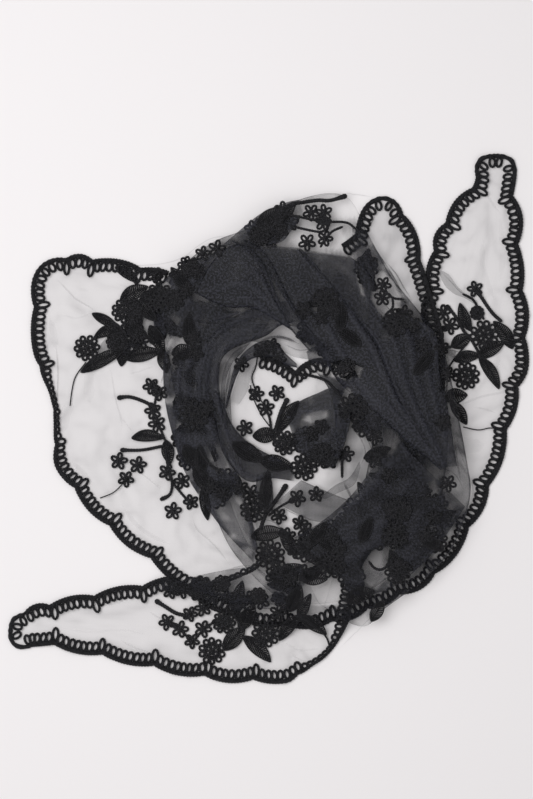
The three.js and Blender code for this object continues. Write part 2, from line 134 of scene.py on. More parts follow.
# The strip of cloth, a row for each section across it, in the order that it runs from the lower tip to
# the right tip: five plan points, the height of its stack of folds in mm, how far the first run takes part
# in the stack, 1 over its own lower turn or -1 on that turn, the same for the long edge, and how densely
# the cloth is gathered in each of its four runs.
corners = ["long", "lip", "crest", "tuck", "short"]
runCount = len(corners) - 1
levelNames = ["fold", "stack", "turn", "edge"]
sectionRows = [
    [[22, 625], [22, 627], [22, 629], [22, 632], [22, 635], 0, 0, 1, 1, (1, 1, 1, 1)],
    [[52, 615], [53, 619], [53, 624], [54, 629], [54, 634], 0, 0, 1, 1, (1, 1, 1, 1)],
    [[190, 586], [194, 607], [198, 627], [201, 646], [204, 665], 0, 0, 1, 1, (1, 1, 1, 1)],
    [[252, 566], [258, 578], [264, 598], [270, 634], [276, 669], 0, 0, 1, 1, (1, 1, 1, 1)],
    [[258, 536], [268, 554], [277, 592], [284, 630], [290, 668], 0, 0, 1, 1, (1, 1, 1, 1)],
    [[240, 470], [288, 500], [292, 586], [299, 624], [308, 662], 0, 0, 1, 0, (1, 1, 1, 1)],
    [[223, 405], [292, 488], [302, 586], [312, 616], [322, 653], 0, 0, 1, 0, (1, 1, 1, 1)],
    [[236, 366], [298, 476], [312, 592], [322, 610], [334, 639], 0, 0, 1, 0, (1, 1, 1, 1)],
    [[256, 366], [305, 472], [323, 606], [325, 602], [338, 620], 5, 0, 1, 0, (1, 1.2, 1.2, 1)],
    [[297, 382], [322, 455], [362, 626], [338, 558], [341, 597], 8, 0, 1, 0, (1, 1.5, 1.5, 1)],
    [[323, 370], [338, 440], [387, 606], [348, 530], [345, 577], 9, 0.1, 1, 0.5, (1.2, 2, 2, 1)],
    [[350, 384], [352, 412], [418, 583], [360, 502], [353, 554], 11, 0.75, 1, 1, (2, 3, 3, 2)],
    [[362, 414], [359, 420], [448, 553], [366, 474], [375, 522], 12, 0.78, 1, 1, (3, 3, 3, 3)],
    [[374, 412], [356, 412], [464, 518], [371, 448], [391, 496], 12, 0.82, 1, 1, (3, 3, 3, 3)],
    [[390, 402], [353, 401], [470, 490], [374, 424], [406, 466], 12, 0.9, 1, 1, (3, 3, 3, 3)],
    [[400, 386], [350, 388], [466, 460], [374, 404], [418, 438], 12, 1, 1, 1, (3, 3, 3, 3)],
    [[402, 368], [345, 374], [460, 428], [370, 388], [426, 408], 12, 1, 1, 1, (3, 3, 3, 3)],
    [[400, 346], [340, 362], [453, 393], [362, 376], [431, 376], 12, 1, 1, 1, (3, 3, 3, 3)],
    [[390, 323], [333, 348], [444, 356], [350, 368], [430, 338], 12, 1, 1, 1, (3, 3, 3, 3)],
    [[372, 300], [322, 338], [425, 320], [335, 362], [421, 300], 11, 1, 1, 1, (3, 3, 3, 2)],
    [[348, 278], [306, 330], [392, 278], [314, 360], [408, 254], 9, 1, 1, 1, (3, 3, 2, 1)],
    [[328, 264], [290, 326], [370, 238], [294, 357], [394, 219], 9, 1, 1, 1, (3, 2, 1.5, 1)],
    [[305, 256], [276, 326], [346, 197], [286, 353], [378, 213], 9, 1, 1, 1, (3, 1.5, 1.2, 1)],
    [[284, 260], [262, 332], [302, 199], [262, 343], [350, 256], 9, 1, 1, 1, (3, 2, 1.5, 1)],
    [[262, 272], [251, 342], [255, 226], [240, 342], [278, 286], 9, 1, 1, 1, (3, 2, 2, 1)],
    [[240, 288], [243, 352], [214, 242], [226, 352], [197, 291], 9, 1, 0, 0, (3, 2, 2, 1)],
    [[222, 308], [232, 364], [182, 268], [214, 365], [118, 274], 9, 1, 0, 0, (3, 2, 2, 1)],
    [[208, 335], [226, 381], [167, 300], [208, 380], [52, 274], 9, 1, 0, 0, (3, 2, 2, 1)],
    [[202, 372], [225, 402], [166, 336], [206, 398], [46, 340], 9, 1, 0, 0, (3, 2, 2, 1)],
    [[204, 405], [229, 430], [172, 378], [208, 425], [56, 400], 9, 1, 0, 0, (3, 2, 2, 1)],
    [[212, 440], [236, 462], [183, 424], [215, 457], [66, 455], 9, 1, -1, 0, (3, 2, 2, 1)],
    [[228, 483], [243, 492], [200, 476], [226, 489], [96, 497], 9, 1, -1, 0, (3, 2, 2, 1)],
    [[239, 520], [251, 519], [217, 520], [238, 522], [128, 528], 9, 1, -1, 0, (3, 2, 2, 1)],
    [[257, 549], [265, 545], [237, 557], [254, 552], [165, 556], 8, 1, -1, 0, (3, 2, 2, 1)],
    [[287, 571], [290, 565], [279, 597], [285, 575], [210, 592], 8, 1, -1, 0, (2, 1.5, 1.5, 1)],
    [[322, 565], [321, 556], [327, 603], [324, 567], [262, 612], 8, 1, -1, 0, (2, 1.5, 1.5, 1)],
    [[360, 552], [353, 540], [369, 590], [361, 545], [325, 612], 8, 1, -1, 0, (3, 2, 2, 2)],
    [[390, 512], [370, 504], [404, 562], [380, 498], [388, 588], 8, 1, -1, 0, (3, 3, 3, 2)],
    [[405, 470], [379, 460], [431, 524], [390, 450], [428, 566], 8, 1, -1, 0, (3, 3, 3, 2)],
    [[411, 435], [384, 424], [444, 480], [396, 412], [460, 522], 8, 1, -1, 0, (3, 3, 3, 1)],
    [[415, 400], [390, 390], [448, 438], [402, 380], [484, 470], 8, 1, -1, 0, (3, 3, 3, 1)],
    [[420, 366], [404, 358], [447, 398], [416, 352], [499, 418], 8, 1, -1, 0, (3, 3, 3, 1)],
    [[428, 346], [421, 347], [449, 372], [432, 347], [507, 388], 7, 1, -1, 0, (3, 3, 3, 1)],
    [[431, 337], [434, 338], [455, 356], [453, 350], [511, 376], 5, 1, -1, 0, (2, 2, 2, 1)],
    [[434, 326], [443, 333], [456, 342], [470, 350], [514, 362], 0, 1, -1, 0, (1, 1, 1, 1)],
    [[438, 290], [456, 295], [474, 299], [492, 303], [514, 312], 0, 1, -1, 0, (1, 1, 1, 1)],
    [[446, 246], [460, 250], [474, 253], [490, 255], [508, 256], 0, 1, 0, 0, (1, 1, 1, 1)],
    [[464, 213], [473, 216], [483, 219], [495, 220], [508, 220], 0, 1, 0, 0, (1, 1, 1, 1)],
    [[482, 190], [487, 191], [492, 192], [497, 193], [502, 193], 0, 1, 0, 0, (1, 1, 1, 1)],
    [[487, 168], [491, 168], [494, 168], [498, 168], [502, 169], 0, 1, 0, 0, (1, 1, 1, 1)],
]
sections = tableOf(corners + levelNames + ["gathers"], sectionRows)
# rows of the table where a stretch of edging begins or ends
rowOf = {"lowerTip": 0, "edgeGoesUnder": 11, "edgeTurnedUnder": 14, "edgeStillUnder": 40, "edgeComesOut": 44,
         "rightTip": 49}
assert len(sections) - 1 == rowOf["rightTip"]

cloth = {
    "lift": 0.0006,  # of the lowest layer over the floor
    "firstRun": 2 / 3,  # where the first run lies in its stack
    "looseRun": 1 / 2, "stackedRun": 1 / 3,  # where the third run lies in an open fold and in a stack
    "foldReach": 0.0045, "foldShare": 0.4,  # a fold turns over this length, or this share of a short run
    "climbShare": 0.35,  # share of the second run over which it climbs onto its stack
    "layerSlack": 0.0028,  # room between an upper turn and the turn below it
    "slopeStart": 0.002, "slopeLength": 0.014, "slopePerHeight": 2.2,  # of cloth beside what it lies on
    "lineStep": 1 / 6,  # rows between the lines of the lower turn
    "lowerTurn": -0.5,  # a section whose turn is below this belongs to the lower turn
    "stationsPerRow": 10, "runSteps": [22, 32, 22, 34], "turnSteps": 7,
    "edgeReach": 0.0097,  # that the edging adds, for what lies over it
    "steepMost": 7,  # most that a steep stretch counts for
    "uprightLeast": 0.05,
    "bunchedAndShaded": 0.8,  # denser cloth along a wrinkle of full height: partly bunched cloth, partly painted shade of the wrinkle
    "crowding": 1.7,  # how much more the gathers of the table count
    "mottle": 0.5,  # how much lighter crowded cloth is in its light patches
    "crowdedFrom": 1.2,  # density from which it counts as crowded
    "levelCells": 6,  # cells past the cloth's edge over which the height stays level
    "rayStart": 0.1,  # height from which the topmost cloth is looked for
}
sectionPoints = np.array([[planPoints([section[name]])[0] for name in corners] for section in sections])
sectionLevels = np.array([[section[name] for name in levelNames] for section in sections], float)
sectionLevels[:, 0] *= mm
sectionGathers = np.array([section["gathers"] for section in sections], float)


# a smooth curve between the middle two of four points
def spline(near, t):
    a, b, c, d = near
    startSlope, endSlope = (c - a) / 2, (d - b) / 2
    cubic = 2 * b - 2 * c + startSlope + endSlope
    square = 3 * (c - b) - 2 * startSlope - endSlope
    return ((cubic * t + square) * t + startSlope) * t + b


# corners, levels and gathers at a place between two rows
def sectionAt(u):
    last = len(sections) - 1
    i = min(int(u), last - 1)
    t = u - i
    points = spline([sectionPoints[min(max(k, 0), last)] for k in (i - 1, i, i + 1, i + 2)], t)
    levels = sectionLevels[i] * (1 - t) + sectionLevels[i + 1] * t
    gathers = sectionGathers[i] * (1 - t) + sectionGathers[i + 1] * t
    return points, dict(zip(levelNames, levels)), gathers


# height of a run of the Z over its turn: the last run lies at the bottom
def runLevel(section, run, share):
    fold, stack = section["fold"], section["stack"]
    if run == 0:
        return stack * fold * cloth["firstRun"]
    if run == 1:
        return stack * fold + (fold - stack * fold) * float(smooth(share / cloth["climbShare"]))
    loose, stacked = cloth["looseRun"], cloth["stackedRun"]
    return fold * (loose + (stacked - loose) * stack) if run == 2 else 0


# the runs of the lower turn, which the upper turn lies on, as lines with their height
def linesUnderneath():
    starts, ends, heights = [], [], []
    for u in np.arange(0, len(sections) - 1, cloth["lineStep"]):
        points, section, _ = sectionAt(u)
        if section["turn"] > cloth["lowerTurn"]:
            continue
        points = points.copy()
        for end, inner in ((0, 1), (-1, -2)):
            way = points[end] - points[inner]
            points[end] += way / max(np.linalg.norm(way), tiny) * cloth["edgeReach"]
        for run in range(runCount):
            starts.append(points[run])
            ends.append(points[run + 1])
            heights.append(max(runLevel(section, run, 0), runLevel(section, run, 1)) + cloth["layerSlack"])
    return np.array(starts), np.array(ends), np.array(heights)


underneath = linesUnderneath()


# height of the lower turn under the spots of the upper one
def groundAt(spots):
    starts, ends, heights = underneath
    ground = np.zeros(len(spots))
    for start, end, height in zip(starts, ends, heights):
        away = awayFrom(spots, start, end) - cloth["slopeStart"]
        slope = cloth["slopeLength"] + cloth["slopePerHeight"] * height
        ground = np.maximum(ground, height * (1 - smooth(away / slope)))
    return ground


# one section from the long edge to the short edge: plan points, levels, share of the ground, gathers
def sectionPath(u):
    points, section, gathers = sectionAt(u)
    ways = points[1:] - points[:-1]
    lengths = np.maximum(np.linalg.norm(ways, axis=1), tiny)
    ways = ways / lengths[:, None]
    reaches = [0.0]
    for before, after in zip(lengths[:-1], lengths[1:]):
        reaches.append(min(cloth["foldReach"], cloth["foldShare"] * before, cloth["foldShare"] * after))
    reaches.append(0.0)
    path = []
    for run in range(runCount):
        start = points[run] + ways[run] * reaches[run]
        end = points[run + 1] - ways[run] * reaches[run + 1]
        steps = cloth["runSteps"][run]
        for k in range(steps + 1):
            t = k / steps
            share = t if run == 0 else 1
            over = max(0, section["edge"] + (section["turn"] - section["edge"]) * share)
            path.append((*(start + (end - start) * t), runLevel(section, run, t), over, gathers[run]))
        if run == runCount - 1:
            break
        corner, reach = points[run + 1], reaches[run + 1]
        levels = runLevel(section, run, 1), runLevel(section, run + 1, 0)
        bend = (end, corner + ways[run] * reach / 3, corner - ways[run + 1] * reach / 3,
                corner + ways[run + 1] * reach)
        for k in range(1, cloth["turnSteps"]):
            t = k / cloth["turnSteps"]
            weights = ((1 - t) ** 3, 3 * t * (1 - t) ** 2, 3 * t * t * (1 - t), t ** 3)
            spot = sum(weight * point for weight, point in zip(weights, bend))
            level = levels[0] + (levels[1] - levels[0]) * float(smooth(t))
            gather = gathers[run] * (1 - t) + gathers[run + 1] * t
            path.append((*spot, level, max(0, section["turn"]), gather))
    return np.array(path)


# soft wrinkles, the same for all layers over a plan point: fine creases from noise, and some listed
wrinkles = {
    "height": 0.0012, "size": 0.030, "crossSize": 0.010, "cell": 0.0012,
    "bendScale": 9, "bendReach": 0.03, "bendLayer": 3.1,  # a slow bend of the creases
    "wideLayer": 0.0, "fineLayer": 5.0, "swing": 2, "sharpness": 7.0, "fineSharpness": 8, "fineShare": 0.4,
}
creaseRows = [  # plan lines along the ridge, height and reach to each side in mm
    [[[70, 300], [92, 322], [104, 350]], 2.0, 7],
    [[[60, 420], [84, 395], [96, 362]], 1.6, 7],
    [[[120, 420], [112, 470], [128, 505]], 1.4, 6],
    [[[186, 520], [205, 545], [236, 556]], 1.6, 5],
    [[[66, 606], [110, 616], [150, 604]], 1.4, 6],
    [[[96, 640], [140, 650], [186, 658]], 1.2, 6],
    [[[178, 598], [186, 588], [204, 586]], 1.6, 5],
    [[[486, 205], [488, 240], [478, 275]], 1.6, 7],
    [[[495, 300], [500, 340], [495, 380]], 1.4, 6],
    [[[470, 420], [486, 410], [506, 402]], 1.6, 6],
]
creases = tableOf(["line", "height", "reach"], creaseRows)


def creaseHeight(spots, crease):
    line = planPoints(crease["line"])
    away = np.min([awayFrom(spots, start, end) for start, end in zip(line[:-1], line[1:])], axis=0)
    return crease["height"] * mm * np.clip(1 - away / (crease["reach"] * mm), 0, 1) ** 2


# 1 where the noise passes through 0, falling off to both sides
def ridgeOf(value, sharpness):
    return (1 - min(1, abs(value) * wrinkles["swing"])) ** sharpness


class Grid:
    # a square grid of heights over the plan, read between its points
    def __init__(self, cell, margin=0.25):
        self.cell, self.margin = cell, margin
        self.count = int(2 * margin / cell) + 1
        self.values = np.zeros((self.count, self.count))

    def read(self, spots):
        # the highest place stays just inside the last cell
        place = np.clip((np.asarray(spots)[:, :2] + self.margin) / self.cell, 0, self.count - 1.001)
        low = place.astype(int)
        part = place - low
        value = self.values
        x, y = low[:, 0], low[:, 1]
        near = value[y, x] * (1 - part[:, 0]) + value[y, x + 1] * part[:, 0]
        far = value[y + 1, x] * (1 - part[:, 0]) + value[y + 1, x + 1] * part[:, 0]
        return near * (1 - part[:, 1]) + far * part[:, 1]

    def spots(self):
        steps = np.arange(self.count) * self.cell - self.margin
        across, up = np.meshgrid(steps, steps)
        return np.stack([across.ravel(), up.ravel()], axis=1)


def makeWrinkleGrid():
    grid = Grid(wrinkles["cell"])
    spots = grid.spots()
    heights = np.zeros(len(spots))
    size, crossSize, scale = wrinkles["size"], wrinkles["crossSize"], wrinkles["bendScale"]
    for index, (x, y) in enumerate(spots):
        bend = noise.noise(Vector((x * scale, y * scale, wrinkles["bendLayer"]))) * wrinkles["bendReach"]
        wide = noise.noise(Vector(((x + bend) / size, (y - bend) / size, wrinkles["wideLayer"])))
        fine = noise.noise(Vector(((x + bend) / crossSize, (y + 2 * bend) / size, wrinkles["fineLayer"])))
        heights[index] = (ridgeOf(wide, wrinkles["sharpness"])
                          + wrinkles["fineShare"] * ridgeOf(fine, wrinkles["fineSharpness"]))
    heights *= wrinkles["height"]
    for crease in creases:
        heights = np.maximum(heights, creaseHeight(spots, crease))
    grid.values = heights.reshape(grid.count, grid.count)
    return grid


wrinkleGrid = makeWrinkleGrid()
print("wrinkles made")


# the cloth as a grid: a row of spots for each station along the strip, with how densely it is gathered
def makeClothGrid():
    last = len(sections) - 1
    stations = np.linspace(0, last, last * cloth["stationsPerRow"] + 1)
    paths = np.array([sectionPath(u) for u in stations])
    rows, width = paths.shape[:2]
    flat = paths.reshape(-1, 5)
    ground = groundAt(flat[:, :2])
    height = cloth["lift"] + flat[:, 2] + flat[:, 3] * ground + wrinkleGrid.read(flat[:, :2])
    spots = np.column_stack([flat[:, :2], height]).reshape(rows, width, 3)
    return stations, spots, paths[:, :, 4]


stations, clothSpots, clothGathers = makeClothGrid()
print("cloth laid out", clothSpots.shape)


# how steeply the cloth stands at each point of its grid: a steep stretch is seen through more thread
def steepness(spots):
    across = np.gradient(spots, axis=1)
    along = np.gradient(spots, axis=0)
    normals = np.cross(across, along)
    upright = np.abs(normals[:, :, 2]) / np.maximum(np.linalg.norm(normals, axis=2), tiny)
    return np.clip(1 / np.maximum(upright, cloth["uprightLeast"]), 1, cloth["steepMost"])


# Edges of the cloth: the stretch of stations, the column of the grid, the side that is out, and the level
# that the edging's ground follows. Cusps are the plan points where one scallop ends and the next begins.
# The edging is narrow in all, or slim round a plan point within a reach. Hidden stretches, from one plan
# point to the next, aren't drawn, and the turned-back one lies under the cloth. Tips: it runs round both.
plainEdge = {"column": 0, "out": 1, "follow": "edge", "cusps": [], "slim": [], "narrow": 1, "hidden": [],
             "turnedBack": [], "tips": False}
edgeStretches = {
    "lowerLongEdging": {
        **plainEdge, "from": "lowerTip", "to": "edgeGoesUnder",
        "cusps": [[49, 604], [93, 591], [143, 587], [190, 578], [240, 566], [256, 530], [244, 476],
                  [230, 436], [225, 396], [256, 358], [295, 374], [325, 372]],
        "hidden": [[256, 552], [262, 354]], "turnedBack": [[176, 582], [240, 366]],
        "replaces": ["long_side_edging_lower"]},
    "innerLongEdging": {
        **plainEdge, "from": "edgeTurnedUnder", "to": "edgeStillUnder", "out": -1, "narrow": 0.3,
        "hidden": [[390, 402], [262, 262], [222, 460], [300, 575]],
        "replaces": ["long_side_edging_inner"]},
    "rightLongEdging": {
        **plainEdge, "from": "edgeComesOut", "to": "rightTip",
        "cusps": [[430, 317], [424, 292], [434, 250], [450, 226], [473, 190]],
        "replaces": ["long_side_edging_right"]},
    "shortSidesEdging": {
        **plainEdge, "from": "lowerTip", "to": "rightTip", "column": -1, "out": -1, "follow": "turn",
        "cusps": [[54, 643], [102, 655], [153, 668], [204, 676], [253, 683], [298, 676], [342, 640],
                  [417, 260], [403, 215], [372, 201], [352, 232], [318, 262], [270, 292], [226, 292],
                  [181, 283], [139, 275], [93, 255], [67, 266], [37, 264],
                  [36, 307], [42, 366], [52, 410], [52, 445], [77, 486], [114, 521], [153, 555],
                  [196, 582], [240, 600], [286, 612], [330, 614], [365, 603], [399, 593], [433, 572],
                  [466, 525], [488, 486], [505, 429], [523, 389], [526, 338], [523, 290], [519, 244],
                  [512, 196]],
        "slim": [[325, 655, 30], [46, 410, 40]], "hidden": [[350, 258], [166, 283]], "tips": True,
        "replaces": ["left_side_edging", "right_side_edging"]},
}
edging = {
    "cordWidth": 0.0040, "cordHeight": 0.0018, "knotPitch": 0.0026, "knotDepth": 0.13, "cordLeast": 0.6,
    "cordStep": 0.00066, "cordSides": 8, "cordSlant": 1.2, "lift": 0.0011,
    "ringLength": 0.0074, "ringWidth": 0.0050, "ringThread": 0.0024, "ringPitch": 0.0054, "ringTurn": 0.16,
    "ringBreadths": (0.88, 1.05), "ringOverlap": 0.0004, "ringRise": 0.6, "ringFlatness": 0.85,
    "ringSteps": 12,  # the rise is that of every second loop
    "scallopDepth": 0.0044, "scallopRest": 0.0020, "scallopPower": 0.75,
    "scallopLength": 0.043, "scallopLeast": 0.02,  # where no cusps are given, and between two that are
    "picotReach": 0.0030, "picotNear": 0.5,  # share of the pitch within which a loop points inwards
    "slimShare": 0.3, "slimCore": 0.4,  # width where slim, and the share of its reach that is fully so
    "turnLength": 0.011, "tipStations": 5, "backLength": 0.016, "backingStep": 0.004,
}


def stationIndex(mark):
    return rowOf[mark] * cloth["stationsPerRow"]


# an edge as evenly spaced points with their way out, height and scallop, from the cloth's grid
def edgePath(stretch, step):
    first, last = stationIndex(stretch["from"]), stationIndex(stretch["to"])
    line = clothSpots[first:last + 1, stretch["column"]]
    follow = [max(0, sectionAt(u)[1][stretch["follow"]]) for u in stations[first:last + 1]]
    reach, middle = edging["tipStations"], clothSpots.shape[1] // 2
    if stretch["tips"]:
        line = np.concatenate([clothSpots[reach:0:-1, 0], clothSpots[0, [0, middle]], line,
                               clothSpots[-1, [middle, 0]], clothSpots[-2:-reach - 2:-1, 0]])
        follow = [0] * (reach + 2) + follow + [0] * (reach + 2)
    elif stretch["from"] == "lowerTip":
        line, follow = line[reach:], follow[reach:]
    elif stretch["to"] == "rightTip":
        line, follow = line[:-reach], follow[:-reach]
    return linePath(line, follow, stretch, step)


# the way to the left of an edge, evened out so that it turns slowly round its corners
def waysAside(spots, step):
    ways = unitWays(np.gradient(spots[:, :2], axis=0))
    reach = max(1, int(edging["turnLength"] / step / 2))
    kernel = np.hanning(2 * reach + 3)[1:-1]
    kernel /= kernel.sum()
    return leftOf(np.column_stack([np.convolve(np.pad(ways[:, k], reach, mode="edge"), kernel, "valid")
                                   for k in (0, 1)]))


# how far along an edge its scallops meet
def scallopEnds(stretch, spots, at):
    if not stretch["cusps"]:
        return list(np.linspace(0, at[-1], max(2, int(at[-1] / edging["scallopLength"]))))
    marks = [float(at[index]) for index in nearestTo(spots, stretch["cusps"])]
    ends = sorted(set([0.0] + marks + [float(at[-1])]))
    return [end for k, end in enumerate(ends) if k == 0 or end - ends[k - 1] > edging["scallopLeast"]]


def linePath(line, follow, stretch, step):
    lengths = lengthsAlong(line[:, :2])
    count = max(2, int(lengths[-1] / step))
    at = np.linspace(0, lengths[-1], count)
    spots = np.column_stack([np.interp(at, lengths, line[:, k]) for k in range(3)])
    out = waysAside(spots, step) * stretch["out"]
    ends = scallopEnds(stretch, spots, at)
    share = np.interp(at, ends, np.arange(len(ends)))
    bulge = np.abs(np.sin(np.pi * (share % 1))) ** edging["scallopPower"]
    slim = np.full(count, float(stretch["narrow"]))
    slimShare = edging["slimShare"]
    for x, y, reach in stretch["slim"]:
        away = np.linalg.norm(spots[:, :2] - planPoints([[x, y]])[0], axis=1) / (reach * plan["scale"])
        slim = np.minimum(slim, slimShare + (1 - slimShare) * smooth(away - edging["slimCore"]))
    if stretch["turnedBack"]:
        start, end = at[nearestTo(spots, stretch["turnedBack"])]
        side = 1 - 2 * smooth(np.minimum(at - start, end - at) / edging["backLength"] + 0.5)
        slim = np.minimum(slim, slimShare + (1 - slimShare) * (side + 1) / 2)
        out = out * side[:, None]
    shown = np.ones(count, bool)
    if stretch["hidden"]:
        marks = nearestTo(spots, stretch["hidden"])
        for first, last in zip(marks[::2], marks[1::2]):
            shown[first:last] = False
    return {"at": at, "spots": spots, "out": out, "shown": shown, "bulge": bulge, "ends": ends,
            "slim": slim, "follow": np.interp(at, lengths, follow)}


# how far out the loops begin, and how far out the middle of the cord lies
def scallopOffset(path):
    depth, rest = edging["scallopDepth"], edging["scallopRest"]
    return (rest - depth * (1 - path["bulge"])) * path["slim"]


def cordOffset(path):
    return scallopOffset(path) + (edging["ringLength"] + edging["cordWidth"] / 2) * path["slim"]


# a strip of the cloth itself that backs the edging, out to the middle of its cord
def backingStrip(stretch):
    path = edgePath(stretch, edging["backingStep"])
    offset = cordOffset(path)
    columns = [np.column_stack([path["spots"][:, :2] + path["out"] * (offset * share)[:, None],
                                path["spots"][:, 2]]) for share in (0, 0.5, 1)]
    return np.stack(columns, axis=1)


# how much denser the cloth is along its wrinkles: partly bunched cloth, partly painted shade of the wrinkles
def bunchedAndShaded(spots):
    heights = wrinkleGrid.read(spots.reshape(-1, 3)[:, :2]).reshape(spots.shape[:2])
    return 1 + cloth["bunchedAndShaded"] * heights / wrinkles["height"]


# grids of spots with a density or more values for each, as one mesh
def joinGrids(grids):
    spots, faces, gathers = [], [], []
    for grid, density in grids:
        start = sum(len(part) for part in spots)
        rows, width = grid.shape[:2]
        index = start + np.arange(rows * width).reshape(rows, width)
        quads = np.stack([index[:-1, :-1], index[1:, :-1], index[1:, 1:], index[:-1, 1:]], axis=-1)
        spots.append(grid.reshape(-1, 3))
        gathers.append(density.reshape(rows * width, -1).squeeze())
        faces.append(quads.reshape(-1, 4))
    return np.concatenate(spots), np.concatenate(faces), np.concatenate(gathers)


# the whole cloth as one mesh: its grid, and the strips that back the edging
def makeCloth():
    crowded = 1 + (clothGathers - 1) * cloth["crowding"]
    grids = [(clothSpots, crowded * steepness(clothSpots) * bunchedAndShaded(clothSpots))]
    grids += [(strip, np.ones(strip.shape[:2])) for strip in map(backingStrip, edgeStretches.values())]
    return joinGrids(grids)


def makeTree(vertices, faces):
    return BVHTree.FromPolygons([Vector(spot) for spot in vertices], [tuple(face) for face in faces])


clothVertices, clothFaces, clothDensity = makeCloth()
print("cloth mesh", len(clothFaces), "faces")


# heights of the topmost cloth; they stay level a little past its edge, so that no thread drops there
def makeHeightGrid(tree):
    grid = Grid(wrinkles["cell"])
    down = Vector((0, 0, -1))
    for index, (x, y) in enumerate(grid.spots()):
        hit = tree.ray_cast(Vector((x, y, cloth["rayStart"])), down)[0]
        grid.values[index // grid.count, index % grid.count] = hit.z if hit else 0
    for _ in range(cloth["levelCells"]):
        around = np.max([np.roll(grid.values, k, axis=axis) for axis in (0, 1) for k in (-1, 1)], axis=0)
        grid.values = np.where(grid.values > 0, grid.values, around)
    return grid


# a smooth surface that lies on the highest spots nearby
def drapedOver(grid, reach=4):
    values = grid.values
    shifts = range(-reach, reach + 1)
    for axis in (0, 1):
        values = np.max([np.roll(values, k, axis=axis) for k in shifts], axis=0)
    for axis in (0, 1, 0, 1):
        values = np.mean([np.roll(values, k, axis=axis) for k in shifts], axis=0)
    draped = Grid(grid.cell)
    draped.values = values
    return draped


topGrid = makeHeightGrid(makeTree(clothVertices, clothFaces))
drapeGrid = drapedOver(topGrid)
print("height grids made")


# a line through a few plan points, smoothed into an even path
def flowingLine(points, step=0.0015, bends=8):
    line = planPoints(points)
    if len(line) > 2:
        near = np.concatenate([[2 * line[0] - line[1]], line, [2 * line[-1] - line[-2]]])
        line = np.concatenate([[spline(near[k:k + 4], t) for t in np.linspace(0, 1, bends, endpoint=False)]
                               for k in range(len(near) - 3)] + [line[-1:]])
    lengths = lengthsAlong(line)
    at = np.linspace(0, lengths[-1], max(3, int(lengths[-1] / step)))
    return np.column_stack([np.interp(at, lengths, line[:, k]) for k in (0, 1)]), at / lengths[-1]


